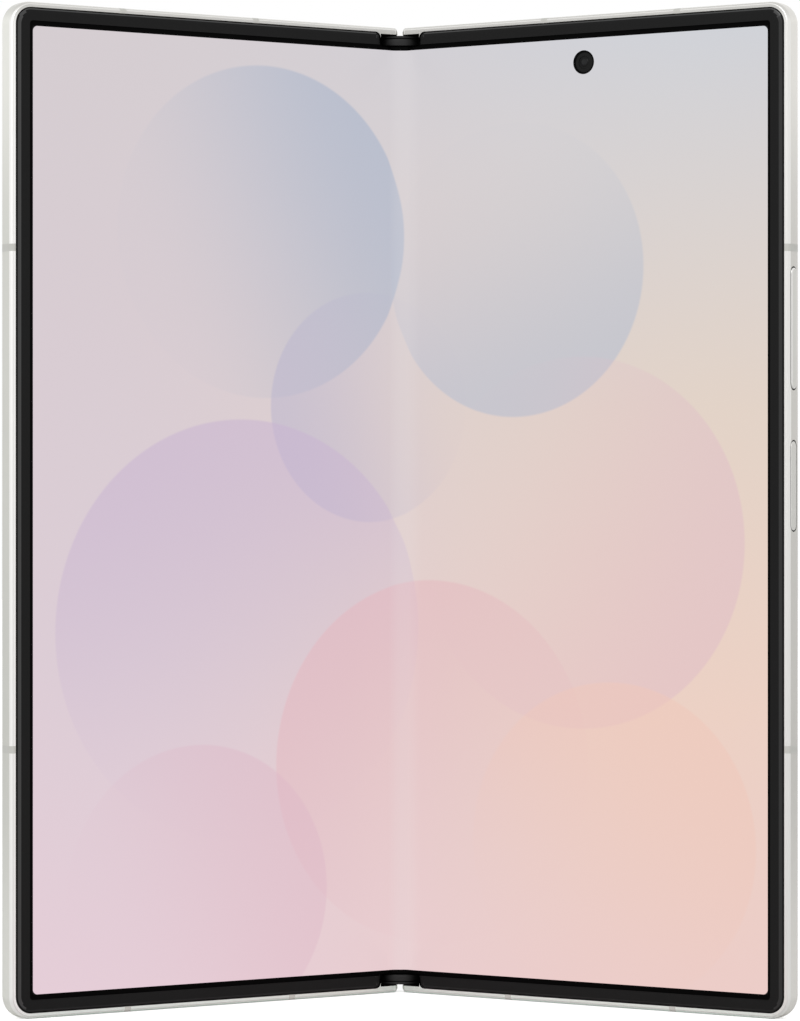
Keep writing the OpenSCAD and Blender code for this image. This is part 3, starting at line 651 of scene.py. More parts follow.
def hinge_windows(*nodes):
    return [block("window", (0, deck_w - 0.01, z0 - leaf_play),
                  (leaf_u, leaf_w, z1 + leaf_play))
            for node in nodes
            for z0, z1 in runs(np.round(unfolded(node)[:, 2], 2), 6)]


def break_gaps(node):
    """Boxes round the separate solids of a radio break node, in the flat view."""
    u, _, z = unfolded(node).T
    on_side = (u > half_w - wall - 0.05) & (z > far_end) & (z < height - far_end)
    gaps = [block("side gap", (half_w - wall, -past, z0),
                  (half_w + past, thick + past, z1)) for z0, z1 in runs(z[on_side], 3)]
    for here, z0, z1 in ((z < wall + 1.5, -past, wall),
                         (z > height - wall - 1.5, height - wall, height + past)):
        gaps += [block("end gap", (u0, -past, z0), (u1, thick + past, z1))
                 for u0, u1 in runs(u[here], 3)]
    return gaps


# %% Slots for the keys, the tray and the port
def key_openings(node):
    low, high = flat(node)
    start = half_w - ledge - 1.2
    ends = key_rim - key_gap
    return [slot_block("key slot", (start, low[1] - key_gap, low[2] + ends),
                       (half_w + past, high[1] + key_back_gap, high[2] - ends),
                       across=0),
            block("key room", (start, low[1] - key_gap - 0.05, low[2] - 0.25),
                  (half_w - wall, glass_w - 0.31, high[2] + 0.25))]


def openings(side):
    if side == "left":
        low, high = flat("sim_tray")
        return [slot_block("tray slot", (low[0] - 0.1, low[1] - 0.1, height - wall - 1),
                           (high[0] + 0.1, high[1] + 0.1, height + past), across=2)]
    low, high = flat("usb_port_shell")
    u, w = (low[0] + high[0]) / 2, (low[1] + high[1]) / 2
    mouth = slot_block("mouth", (u - mouth_u / 2, w - mouth_w / 2, -past),
                       (u + mouth_u / 2, w + mouth_w / 2, wall + past), across=2)
    bed = block("port bed", (low[0] - 0.3, deck_w + 0.01, wall),
                (high[0] + 0.3, glass_w - 0.31, high[2] + 0.8))
    first = flat("loudspeaker")[0][0] + 2
    return [*key_openings("volume_key"), *key_openings("power_key"), mouth, bed,
            *[post("sound hole", first + 2.2 * i, w, -past, wall + past, 0.5, 32)
              for i in range(6)],
            barrel("eye hole", eye_u, eye_z, 0, deck_back + past, eye_r)]


def round_node(node):
    """Middle and radius of a round node, seen from the front."""
    low, high = flat(node)
    return (low[0] + high[0]) / 2, (low[2] + high[2]) / 2, (high[0] - low[0]) / 2


key_rim, key_gap, key_back_gap = 0.35, 0.2, 0.08
mouth_u, mouth_w = 8.34, 2.56
eye_u, eye_z, eye_r = np.add(round_node("selfie_camera"), (-0.15, -0.18, 0.06))


# %% Paint the faces of a frame by where they are
WALL, RIM, EDGE, INSIDE, DARK = range(5)


def outer_inset(w):
    """How far in the outside of a wall lies at depth w."""
    if w < chamfer:
        return chamfer - w
    deep = max(w - (thick - back_r), 0)
    return back_r - math.sqrt(max(back_r ** 2 - deep ** 2, 0))


def is_outside(points):
    """True for a face of the outside: walls, chamfer, rim, nose and back."""
    first = points[0].z
    if all(near(p.z, first) for p in points) and near(min(first, height - first),
                                                      wall, 0.1):
        return False
    for p in points:
        slack = 0.1 if near(p.y, chamfer, 0.35) else 0.03
        on_wall = inset(p) < outer_inset(p.y) + slack
        on_face = p.y < 0.02 or p.y > thick - 0.02
        on_nose = p.x < 1.25 and min(p.z, height - p.z) < wall + 0.02
        if not (on_wall or on_face or on_nose):
            return False
    return True


def paint_frame(shell, wall_metal):
    coat(shell, wall_metal, silver_rim, edge_highlight_silver, inside_silver_shade, deep_black)
    # Painted light by place: thin edge faces get the brighter silver as a painted highlight,
    # inside faces a darker silver as painted shade, and those beside the fold end near-black as
    # painted shade.
    for face in shell.data.polygons:
        c, n = face.center, face.normal
        if not is_outside([shell.data.vertices[i].co for i in face.vertices]):
            face.material_index = DARK if c.x < bezel_u + 0.6 else INSIDE
        elif c.y > chamfer + 0.22:
            face.material_index = WALL
        elif -0.85 < n.y < -0.75 or (-0.995 < n.y < -0.8 and c.y < 0.03):
            face.material_index = EDGE
        else:
            face.material_index = RIM if n.y < -0.4 or c.x > 2 else WALL


# %% Both frames and their radio breaks
def make_half(side):
    shell = half_shell(f"{side}_housing")
    breaks = twin(shell, f"{side}_break_fillings")
    gaps = break_gaps(f"{side}_radio_breaks")
    spare = joined("gaps", *[twin(gap, "gap") for gap in gaps])
    combine(breaks, spare, how="INTERSECT")
    combine(shell, *gaps, *openings(side),
            *hinge_windows(f"{side}_rotators", f"{side}_sync_arm"))
    return shell, breaks


halves = {side: make_half(side) for side in ("left", "right")}
for side, (shell, breaks) in halves.items():
    paint_frame(shell, silver_walls_painted_light[side])
    deliver(shell, f"{side}_half", "frame", f"{side}_frame")
    coat(breaks, radio_plastic)
    deliver(breaks, f"{side}_half", "radio", f"{side}_radio_breaks")

# %% [markdown]
# ## The bezels
#
# Each screen is held by a soft black band that sits in the seat of the frame.
# Its outer shoulder falls away in a long, flat curve, and a grey line of light runs round it,
# well inside its edge: the line is a painted highlight, laid on the shoulder's faces as glossier
# copies of the black, brighter on the left and top than on the right and bottom, with painted
# shade at its foot. A plain bevel is as deep as it is wide, so the shoulder is made with a run
# of insets on the front face, each one a step further in and a step further up.

# %% A band with a shoulder
shoulder = [(0.04, 0.1), (0.07, 0.09), (0.11, 0.07), (0.14, 0.045), (0.15, 0.03),
            (0.2, 0.015), (0.2, 0.005)]
shoulder_rise = sum(rise for _, rise in shoulder)
bezel_edge = rim + play
opening_side, opening_end, opening_r = 3.32, 2.95, 0.55


# %% Painted shade at the foot of the shoulder, painted highlight on its top, soft black on the flat
FLAT, FOOT = 0, 1


def sheen_limits(lean, side):
    """Where the shoulder's painted highlight begins and ends, and which sheen copy it gets."""
    if abs(lean) > 0.9:
        return (0.0, 0.38, 2) if lean > 0 else (0.22, 0.5, 4)
    return (0.22 if lean > 0.5 else 0.36, 0.7 if abs(lean) > 0.6 else 0.92,
            2 if side == "left" or lean > 0.5 else 3)


def bezel_finish(side, c, n):
    reach = inset(c) - bezel_edge
    foot, brow, sheen = sheen_limits(n.z / max(math.hypot(n.x, n.z), 1e-6), side)
    # Painted shade: the foot of the shoulder and its hidden faces get near-black.
    if c.y > shoulder_rise or n.y > -0.3 or reach < 0.04:
        return FOOT
    lit = foot < reach < brow and n.y > -0.99995 and n.x > -0.05
    return sheen if lit else FLAT


for side in halves:
    band = rounded_block(f"{side}_band", (bezel_u, shoulder_rise, bezel_edge),
                         (half_w - bezel_edge, seat - play, height - bezel_edge),
                         corner - bezel_edge, 14)
    round_over(band, through(bezel_u), bezel_end_r, 8)
    inset_steps(band, lambda c, n: n.y < -0.9 and near(c.y, shoulder_rise, 0.01),
                shoulder)
    combine(band, rounded_block("opening", (-1, -1, opening_end),
                                (half_w - opening_side, thick, height - opening_end),
                                opening_r, 8),
            seat_block("overhang", overlap, screen_w - play, thick))
    coat(band, soft_black, deep_black, *painted_sheens)
    paint(band, lambda c, n: bezel_finish(side, c, n))
    deliver(band, f"{side}_half", "bezel", f"{side}_bezel")

# %% [markdown]
# ## The folding screen
#
# The screen is one sheet that bends over the hinge. It is modelled as two flat
# sheets that meet on the middle line, each with narrow strips beside the fold.
# Its picture follows the sheet through the piece's own UV map, which is laid
# out before the bend.

# %% Size of the bend
bend_u, strips = sheet_low[0], 26
bend_z = 1000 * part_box("display_fold_zone")[0].z
bend_x = (axis_x + (bend_u - axis_x) * math.cos(rest_turn)
          + (screen_w + 0.3 - axis_w) * math.sin(rest_turn))
print("the bend ends at", round(bend_u, 2), "mm from the fold, and at rest at x",
      round(bend_x, 3))


def bent_spot(u, w):
    """Where a point of the flat sheet lies at rest, in the spine's view."""
    x = u
    for _ in range(80):
        t = min(max(x / bend_x, 0), 1)
        turn = rest_turn * t * t * (3 - 2 * t)
        x = axis_x + (u - axis_x) * math.cos(turn) + (w - axis_w) * math.sin(turn)
    return x, axis_w - (u - axis_x) * math.sin(turn) + (w - axis_w) * math.cos(turn)


# %% Cut the sheet, lay out its map, then bend it
def make_screen(side):
    sheet = block(f"{side}_screen", (0, screen_w, sheet_edge),
                  (half_w - sheet_edge, screen_back, height - sheet_edge))
    round_over(sheet, through(half_w - sheet_edge), corner - sheet_edge, 6)
    for z0, z1 in ((-1, bend_z), (height - bend_z, height + 1)):
        combine(sheet, block("notch", (-1, -1, z0), (bezel_u, 3, z1)))
    if side == "right":
        combine(sheet, barrel("eye hole", eye_u, eye_z, -1, 3, eye_r))
    for i in range(strips + 1):
        split_at(sheet, (bend_u * (i + 0.5) / strips, 0, 0), (1, 0, 0))
    split_at(sheet, (lit_half[side], 0, 0), (1, 0, 0))
    for z in (lit_in, height - lit_in):
        split_at(sheet, (0, 0, z), (0, 0, 1))
    tidy_mesh(sheet)
    coat(sheet, glow.material, border_black)
    paint(sheet, lambda c, n: c.x > lit_half[side] or n.y > -0.9
          or min(c.z, height - c.z) < lit_in)
    mesh, mirror = sheet.data, -1 if side == "left" else 1
    layer = mesh.uv_layers.new(name="picture")
    for loop in mesh.loops:
        spot = mesh.vertices[loop.vertex_index].co
        layer.data[loop.index].uv = (0.5 + mirror * spot.x / height, spot.z / height)
    for v in mesh.vertices:
        x, w = bent_spot(v.co.x, v.co.y)
        v.co = (mirror * x / 1000, (w + front_y) / 1000, v.co.z / 1000)
    everywhere(sheet, face_out)
    shade(sheet, 25)
    print(side, "screen", len(sheet.data.polygons), "faces")
    return sheet


lit_in = 3.77
lit_half = {"left": half_w - 3.94, "right": half_w - 3.83}
glow = Finish("lit screen", tone(8, 8, 8), 0.12, gloss=0.15)
border_black = grained("black screen border", tone(3, 3, 3), 0.3, gloss=0.03,
                       grain=5000)
screens = {side: make_screen(side) for side in halves}

# %% [markdown]
# ## The picture on the screen
#
# The screen is lit, so its picture is mostly its own light, under a smooth
# clear coat. The picture is a plain one of soft petals: round, see-through
# discs over a pastel ground, each strong at one edge and fading across. Every
# disc is a distance from its middle, turned into a mask, times a slope along
# one direction. Round the picture the sheet is black.

# %% The ground and one petal
def ramp(value, *stops):
    node = glow.add("ValToRGB", Fac=value)
    marks = node.color_ramp.elements
    while len(marks) < len(stops):
        marks.new(0.5)
    for mark, (place, colour) in zip(marks, stops):
        mark.position, mark.color = place, colour
    return node.outputs["Color"]


def petal(ground, px, pz, radius, angle, colour, strength, softness=0.5):
    dx, dz = glow.sum("SUBTRACT", x, px), glow.sum("SUBTRACT", z, pz)
    inside = glow.ease(glow.length(dx, dz), 1, 0, radius - softness, radius)
    c, s = math.cos(math.radians(angle)), math.sin(math.radians(angle))
    way = glow.sum("ADD", glow.sum("MULTIPLY", dx, c), glow.sum("MULTIPLY", dz, s))
    slope = glow.ease(way, 0.04, 1, -radius * 0.9, radius)
    share = glow.sum("MULTIPLY", glow.sum("MULTIPLY", inside, slope), strength)
    return glow.blend(share, ground, colour)


across, up, _ = glow.parts(glow.add("UVMap", uv_map="picture").outputs["UV"])
x = glow.span(across, -height / 2, height / 2)
z = glow.span(up, 0, height)
left = ramp(up, (0.02, tone(233, 209, 219)), (0.35, tone(224, 208, 217)),
            (0.7, tone(219, 207, 213)), (0.98, tone(216, 208, 212)))
right = ramp(up, (0.02, tone(240, 208, 203)), (0.3, tone(240, 212, 199)),
             (0.6, tone(230, 214, 202)), (0.98, tone(211, 213, 219)))
ground = glow.blend(glow.ease(x, 0, 1, -side_x, side_x), left, right)

# %% All petals, the round corners of the light and a painted highlight along the bend
# middle x and z, radius, direction, colour, strength
for facts in (
        (-26, 124, 27, 20, tone(168, 182, 205), 0.62),
        (22, 118, 24, -70, tone(176, 190, 211), 0.55),
        (-6, 96, 19, 200, tone(184, 180, 208), 0.5),
        (-30, 60, 34, 100, tone(203, 182, 212), 0.55),
        (34, 74, 30, -20, tone(226, 190, 202), 0.5),
        (6, 38, 30, 130, tone(232, 184, 192), 0.5),
        (40, 26, 26, 60, tone(243, 202, 188), 0.5),
        (-38, 18, 24, 30, tone(225, 186, 202), 0.45)):
    ground = petal(ground, *facts)
lit_r = 0.85
bound = glow.sum("ABSOLUTE", glow.span(x, -lit_half["left"], lit_half["right"],
                                       -0.001, 0.001))
past_x = glow.sum("ADD", glow.sum("SUBTRACT", glow.sum("ABSOLUTE", x), bound), lit_r)
past_z = glow.sum("SUBTRACT", glow.sum("ABSOLUTE", glow.sum(
    "SUBTRACT", z, height / 2)), height / 2 - lit_in - lit_r)
far = glow.length(glow.sum("MAXIMUM", past_x), glow.sum("MAXIMUM", past_z))
lit = glow.span(far, 1, 0, lit_r - 0.01, lit_r + 0.05)
# painted highlight: the picture is lightened along the fold, where the bend catches a little
# more light
fold_highlight = glow.ease(glow.sum("ABSOLUTE", glow.sum("SUBTRACT", x, 0.9)), 1, 0, 0.6, 3.8)
ground = glow.blend(glow.sum("MULTIPLY", fold_highlight, 0.13), ground, tone(240, 236, 238))
glow.feed("Emission Color", glow.blend(lit, tone(1, 1, 1), ground))
glow.feed("Emission Strength", 0.95)
glow.feed("Roughness", glow.span(glow.noise(glow.place(), 2500, 2), 0.1, 0.16))

# %% Set the screens' shape into their meshes, and hide the nodes they stand for
for side, sheet in screens.items():
    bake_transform(sheet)
    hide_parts(f"inner_display_{side}", "display_fold_zone")

# %% [markdown]
# ## The hinge's end caps and its cover
#
# Between the two frames the hinge ends in small black caps. Each is a moulded
# piece with a thin lip on top, a groove under it and a plain face below, so it
# is made as a few slabs of one outline, some of them drawn in. The outline is
# a round bar on each fold axis, with a shallow dome in front. The cover behind
# is a drawn strip with a brushed outside.

# %% The outline of the hinge, and the caps
spine_r = pocket_r - 0.075
dome_w, dome_r = 8.3, 8
# where a slab begins and ends, counted from the end of the hinge, and its draw
cap_slabs = ((0, 0.38, 0), (0.34, 0.55, 0.14), (0.52, 1.6, 0), (1.56, 1.9, 0.35))


def spine_outline(name, z0, z1, radius, sides=128):
    return combine(post(name, axis_x, axis_w, z0, z1, radius, sides),
                   post("other side", -axis_x, axis_w, z0, z1, radius, sides),
                   block("middle", (-axis_x, axis_w, z0),
                         (axis_x, axis_w + radius, z1)), how="UNION")


def cap_painted_shade(name, light, dark):
    """Black with painted shade: darker beside the frames than in the middle."""
    finish = Finish(name, light, 0.4, gloss=0.15)
    where = finish.place()
    aside = finish.sum("ABSOLUTE", finish.parts(where)[0])
    share = finish.ease(aside, 0, 1, 0.0005, 0.0026)
    finish.feed("Base Color", finish.blend(share, light, dark))
    finish.feed("Roughness", finish.span(finish.noise(where, 8000), 0.36, 0.48))
    return finish.material


def make_caps():
    foot = 1000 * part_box("spine_end_caps")[0].z
    slabs = []
    for top in (False, True):
        for a, b, draw in cap_slabs:
            z0, z1 = foot + a, foot + b
            if top:
                z0, z1 = height - z1, height - z0
            slab = spine_outline("slab", z0, z1, spine_r - draw, 96)
            combine(slab, post("dome", 0, dome_w + draw, z0 - 1, z1 + 1, dome_r, 240),
                    how="INTERSECT")
            if not draw:
                round_over(slab, level(2, z0), 0.06, 3)
                round_over(slab, level(2, z1), 0.06, 3)
            # Painted shade: the drawn-in slabs, the groove and the base, get near-black.
            coat(slab, cap_black, deep_black)
            paint(slab, lambda c, n: draw > 0)
            slabs.append(slab)
    deliver(joined("cap_mouldings", *slabs), "spine", "dark_plastic", "spine_end_caps")


cap_black = cap_painted_shade("black cap with painted shade", tone(46, 46, 46), tone(6, 6, 6))
make_caps()

# %% The brushed cover
def make_cover():
    low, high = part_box("spine_cover")
    z0, z1 = 1000 * low.z, 1000 * high.z
    front = 1000 * low.y - front_y
    cover = combine(spine_outline("cover_strip", z0, z1, spine_r),
                    spine_outline("hollow", z0 - 1, z1 + 1, spine_r - 0.45),
                    block("open front", (-5, -3, z0 - 1), (5, front, z1 + 1)))

    def outer(p):
        reach = math.hypot(max(abs(p.x) - axis_x, 0), p.y - axis_w)
        return p.y > front and reach > spine_r - 0.02

    for z in (z0, z1):
        round_over(cover, lambda a, b: level(2, z)(a, b) and outer(a) and outer(b),
                   0.1, 3)
    coat(cover, brushed_spine)
    deliver(cover, "spine", "spine_metal", "spine_cover")


brushed_spine = brushed("brushed spine", tone(206, 205, 200), 0.3, 2)
make_cover()

# %% [markdown]
# ## Keys
#
# The volume rocker stands a little proud of the right edge, and the power key below it is flush.
# Both are milled bars with round ends that sit in a slot with a fine gap round them, and carry a
# thin flange inside that stops them from falling out. The gap's dark line is partly painted
# shade on the keys' sides, and the bright line on each crown is a painted highlight.

# %% Model a key from its node
def make_key(name, node, body, crown_r, side_shade):
    low, high = flat(node)
    bar = slot_block(name, (low[0] + 0.02, low[1], low[2] + key_rim),
                     (high[0], high[1], high[2] - key_rim), across=0)
    round_over(bar, level(0, high[0]), crown_r, 3)
    flange = block("flange", (low[0], low[1] + 0.02, low[2]),
                   (low[0] + 0.25, high[1] - 0.02, high[2]))
    round_over(flange, along(0), 0.3, 3)
    combine(bar, flange, how="UNION")
    coat(bar, silver_key, edge_highlight_silver, side_shade)
    # Painted light: the crown gets the brighter edge silver as a painted highlight, the sides a
    # dark finish as painted shade.
    paint(bar, lambda c, n: 0 if n.x > 0.98 else
          1 if high[0] - c.x < crown_r + 0.01 else 2)
    deliver(bar, body, "frame", node)


silver_key = grained("satin key", tone(213, 212, 207), 0.36, 1.0, grain=9500)
make_key("volume_bar", "volume_key", "volume_rocker", 0.22, inside_silver_shade)
make_key("power_bar", "power_key", "power_button", 0.09, deep_black)

# %% [markdown]
# ## Front camera
#
# The front camera looks through a round hole in the screen. A black ring lines
# the hole, and behind a flat window sits a small lens. The window is drawn
# from a cylinder whose face is inset step by step: down into the ring, across
# a ledge, and up again over the lens.

# %% A round piece whose face is shaped by insets
def stepped_barrel(name, u, z, w0, w1, radius, steps, back=True, sides=64):
    """A cylinder with one end inset step by step."""
    piece = barrel(name, u, z, w0, w1, radius, sides)
    face_w = w1 if back else w0
    inset_steps(piece, lambda c, n: near(c.y, face_w) and abs(n.y) > 0.9, steps)
    return piece


def paint_rings(piece, u, z, limits):
    """Each limit is the radius of a ring, the outermost first."""
    paint(piece, lambda c, n: sum(
        math.hypot(c.x - u, c.z - z) <= limit for limit in limits))


def make_eye(name, spot, w0, w1, radius, steps, finishes, limits, body, slot, node,
             back=True):
    eye = stepped_barrel(name, *spot, w0, w1, radius, steps, back)
    coat(eye, *finishes)
    paint_rings(eye, *spot, limits)
    deliver(eye, body, slot, node)


ring_black = grained("ring black", tone(4, 4, 4), 0.5, gloss=0.05)
eye_window = grained("front camera window", tone(22, 22, 22), 0.2, gloss=0.12,
                     grain=1500)
eye_lens = grained("front camera lens", tone(14, 15, 17), 0.1, gloss=0.28, grain=1500)
window_black = clear_coat("camera window", tone(24, 24, 25), 0.1)
lens_blue = clear_coat("coated lens", tone(26, 28, 38), 0.04)

eye_low, eye_high = flat("selfie_camera")
make_eye("front_camera_eye", (eye_u, eye_z), eye_low[1], eye_high[1], eye_r - play,
         [(0.06, 0.02), (0.22, 0.0), (0.03, -0.12), (0.55, 0.0), (0.05, -0.1),
          (0.25, 0.0), (0.03, 0.03), (0.2, 0.05), (0.2, 0.025)],
         (ring_black, eye_window, eye_lens), (1.5, 0.45),
         "right_half", "dark_plastic", "selfie_camera", back=False)

# %% [markdown]
# ## Backs
#
# The left half's back is the cover screen: clear glass over a black panel. The
# right half's back is frosted glass in the phone's own silver, with a thin
# bright line where its edge is ground round.

# %% Glass plates with ground edges
def back_plate(name, body, node, finish, holes):
    low, high = flat(node)
    plate = rounded_block(name, low, high, corner - glass_edge, 12)
    round_over(plate, through(low[0]), 0.2, 4)
    round_over(plate, level(1, high[1]), 0.14, 4)
    combine(plate, *[barrel("hole", u, z, -1, thick + 1, r, 72) for u, z, r in holes])
    coat(plate, finish)
    deliver(plate, body, node, node)


island_low, island_high = flat("camera_island")
island_u = (island_low[0] + island_high[0]) / 2
lens_r = round_node("lens_glass")[2]
rings_low, rings_high = flat("lens_rings")
ring_u, ring_mid, ring_r = round_node("lens_rings")
lens_z = [rings_low[2] + ring_r, ring_mid, rings_high[2] - ring_r]
flash_u, flash_z, flash_r = round_node("flash_led")
cover_u, cover_z, cover_r = round_node("cover_camera")

frosted_silver = grained("frosted silver glass", tone(214, 214, 209), 0.38, grain=14000,
                         detail=3, cloud=35, dark=0.96, swing=0.06, up=0.08, lift=0.1,
                         depth=0.000004, Coat_Weight=0.25, Coat_Roughness=0.3)
cover_black = clear_coat("cover glass", tone(10, 10, 12), 0.05)
back_plate("rear_glass_plate", "right_half", "rear_glass", frosted_silver,
           [*[(island_u, z, ring_r - 0.6) for z in lens_z],
            (flash_u, flash_z, flash_r + 0.05)])
back_plate("cover_glass_plate", "left_half", "cover_glass", cover_black,
           [(cover_u, cover_z, cover_r + 0.05)])
make_eye("cover_camera_eye", (cover_u, cover_z), flat("cover_camera")[0][1], thick,
         cover_r, [(0.08, 0.0), (0.04, -0.1), (0.45, 0.0), (0.04, -0.08), (0.25, 0.0),
                   (0.03, 0.03), (0.2, 0.04), (0.15, 0.02)],
         (ring_black, window_black, lens_blue), (1.5, 0.85),
         "left_half", "dark_plastic", "cover_camera")

# %% [markdown]
# ## The rear cameras
#
# Three lenses stand on one raised island with round ends. Each has a turned
# metal ring, and inside it a black cone steps down to the glass, so the lens
# looks deep although the piece is thin.

# %% Island, rings, lenses and flash
def make_island():
    island = slot_block("camera_plateau", island_low, island_high, across=1)
    edge = island_high[1]
    round_over(island, level(1, edge), 0.4, 6)
    combine(island, *[barrel("hole", island_u, z, 0, edge + 1, ring_r - 0.4, 72)
                      for z in lens_z])
    # The island takes the right wall's silver, with its painted light along z.
    coat(island, silver_walls_painted_light["right"])
    deliver(island, "right_half", "frame", "camera_island")


def make_rings():
    parts = []
    w0, w1 = rings_low[1], rings_high[1]
    for z in lens_z:
        ring = barrel("ring", island_u, z, w0, w1, ring_r, 96)
        combine(ring, barrel("bore", island_u, z, w0 - 1, w1 + 1, lens_r + play, 96))
        round_over(ring, level(1, w1), 0.16, 4)
        parts.append(ring)
    rings = joined("turned_rings", *parts)
    coat(rings, turned_metal)
    deliver(rings, "right_half", "frame", "lens_rings", angle=25)


def make_lenses():
    parts = []
    low, high = flat("lens_glass")
    for z, wide in zip(lens_z, (1.0, 1.25, 0.85)):
        lens = stepped_barrel("lens", island_u, z, low[1], high[1], lens_r - 0.01, [
            (0.12, 0.0), (0.5, 0.0), (0.04, -0.06), (2.9 - wide, -0.1), (0.05, -0.06),
            (0.5, -0.02), (0.05, -0.05), (wide * 0.6, 0.05), (wide * 0.5, 0.04),
            (wide * 0.3, 0.015)], sides=96)
        paint_rings(lens, island_u, z, (5.5, 2.75 + wide - 0.2, 1.0 + wide))
        parts.append(lens)
    lenses = joined("lens_fronts", *parts)
    coat(lenses, ring_black, window_black, ring_black, lens_blue)
    deliver(lenses, "right_half", "lens", "lens_glass", angle=20)


turned_metal = grained("turned ring", tone(198, 198, 194), 0.24, 1.0, grain=16000,
                       detail=2, cloud=300, dark=0.92, up=0.07, lift=0.08,
                       depth=0.000004)
flash_glass = clear_coat("flash diffuser", tone(238, 226, 176), 0.25)
make_island()
make_rings()
make_lenses()
flash_low, flash_high = flat("flash_led")
make_eye("flash_lens", (flash_u, flash_z), flash_low[1], flash_high[1], flash_r,
         [(0.08, 0.0), (0.05, -0.05), (0.35, 0.0), (0.04, 0.03), (0.2, 0.02),
          (0.05, -0.04), (0.2, 0.01)], (ring_black, flash_glass), (1.42,),
         "right_half", "led", "flash_led")

# %% [markdown]
# ## Port, card tray and card
#
# The charging port is a drawn steel shell in the lower edge with a plastic
# tongue in it, and its contacts show as a row of fine gilt lines. The card
# tray's head closes a slot in the upper edge of the other half, and has the
# small round hole for the eject pin.

# %% The port's shell and tongue
def with_pads(piece, pads, *finishes):
    """Joins contact pads to a piece and gives them the second finish."""
    plain = len(piece.data.polygons)
    joined(piece.name, piece, *pads)
    coat(piece, *finishes)
    for face in piece.data.polygons:
        face.material_index = int(face.index >= plain)
    return piece


def make_port():
    low, high = flat("usb_port_shell")
    skin = 0.14
    shell = slot_block("port_shell", low, high, across=2)
    combine(shell, slot_block("mouth", (low[0] + skin, low[1] + skin, low[2] - 1),
                              (high[0] - skin, high[1] - skin, high[2] - 0.3),
                              across=2))
    round_over(shell, level(2, low[2]), 0.03, 2)
    coat(shell, bright_steel)
    deliver(shell, "right_half", "steel", "usb_port_shell")

    low, high = flat("usb_tongue")
    tongue = block("port_tongue", low, high)
    round_over(tongue, level(2, low[2]), 0.15, 3)
    starts = [low[0] + 0.6 + i * 0.5 for i in range(12)]
    with_pads(tongue, [block("pad", (u, face - 0.02, low[2] + 0.4),
                             (u + 0.25, face + 0.02, low[2] + 3.4))
                       for face in (low[1], high[1]) for u in starts],
              deep_black, gilt)
    deliver(tongue, "right_half", "dark_plastic", "usb_tongue")


bright_steel = brushed("drawn steel", tone(188, 190, 192), 0.25, 2)
gilt = grained("gilt contacts", tone(222, 186, 110), 0.25, 1.0, grain=3000, detail=3,
               cloud=0, dark=0.85, swing=0.06, up=0.08, lift=0)
make_port()


# %% The tray and the card in it
def make_tray():
    low, high = flat("sim_tray")
    card_low, card_high = flat("sim_card")
    mid_w = 2.3
    head = slot_block("card_carrier", (low[0], low[1], height - wall),
                      (high[0], high[1], height), across=2)
    round_over(head, level(2, height), 0.12, 3)
    sled = block("sled", (low[0] + 0.55, mid_w - 0.55, low[2]),
                 (high[0] - 0.55, mid_w + 0.55, height - wall + 0.1))
    round_over(sled, lambda a, b: along(1)(a, b) and near(a.z, low[2]), 0.8, 5)
    combine(sled, block("card bed", (card_low[0] - 0.1, mid_w - 1.5, card_low[2] - 0.1),
                        (card_high[0] + 0.1, card_high[1] + 0.01,
                         card_high[2] + 0.1)))
    for piece, end in ((head, height - wall - 1), (sled, height - 3)):
        combine(piece, post("pin hole", high[0] - 1.35, mid_w, end, height + 1,
                            0.4, 32))
    combine(head, sled, how="UNION")
    coat(head, silver_key)
    deliver(head, "card_tray", "frame", "sim_tray")

    card = rounded_block("small_card", card_low, card_high, 0.6, 4, outer_only=False)
    first_u, first_z = (card_low[0] + card_high[0]) / 2 - 3.6, card_low[2] + 2.2
    starts = [(first_u + column * 3.7, first_z + row * 2.7)
              for row in range(3) for column in range(2)]
    with_pads(card, [rounded_block("pad", (u + 0.12, card_low[1] - 0.02, z + 0.12),
                                   (u + 3.6, card_low[1] + 0.02, z + 2.6), 0.3, 3,
                                   outer_only=False) for u, z in starts],
              card_white, gilt)
    deliver(card, "card_tray", "radio", "sim_card")


card_white = grained("card plastic", tone(228, 228, 224), 0.45, gloss=0.4, grain=3000)
make_tray()

# %% [markdown]
# ## What stays as built
#
# The hinge's blocks, gears, arms, springs and screws, and the parts inside the
# halves, have the right shape already. They keep it, and get a finish each:
# brushed metal, a wrapped cell, a board with its traces, wound copper. A finish
# goes into the node's own slots.

# %% Finishes for the works inside
def board_finish(name, colour):
    board = Finish(name, colour, 0.35, gloss=0.4)
    lines = board.add("TexBrick", Vector=board.place(), Scale=900, offset=0.5,
                      Color1=colour, Color2=dim(colour, 1.35),
                      Mortar=tone(150, 128, 70), Mortar_Size=0.012)
    board.feed("Base Color", lines.outputs["Color"])
    board.bump(lines.outputs["Fac"], 0.2, 0.00002)
    return board.material


def wound(name, colour, middle):
    """Wound wire: rings about a middle, as bands of light and relief."""
    coil = Finish(name, colour, 0.3, 1.0)
    rings = coil.add("TexWave", wave_type="RINGS", rings_direction="SPHERICAL",
                     Vector=coil.place(shift=-middle), Scale=700,
                     Distortion=0.0).outputs["Fac"]
    coil.feed("Base Color", coil.blend(rings, dim(colour, 0.5), colour))
    coil.bump(rings, 0.5, 0.00005)
    return coil.material


def both(name):
    return f"left_{name}", f"right_{name}"


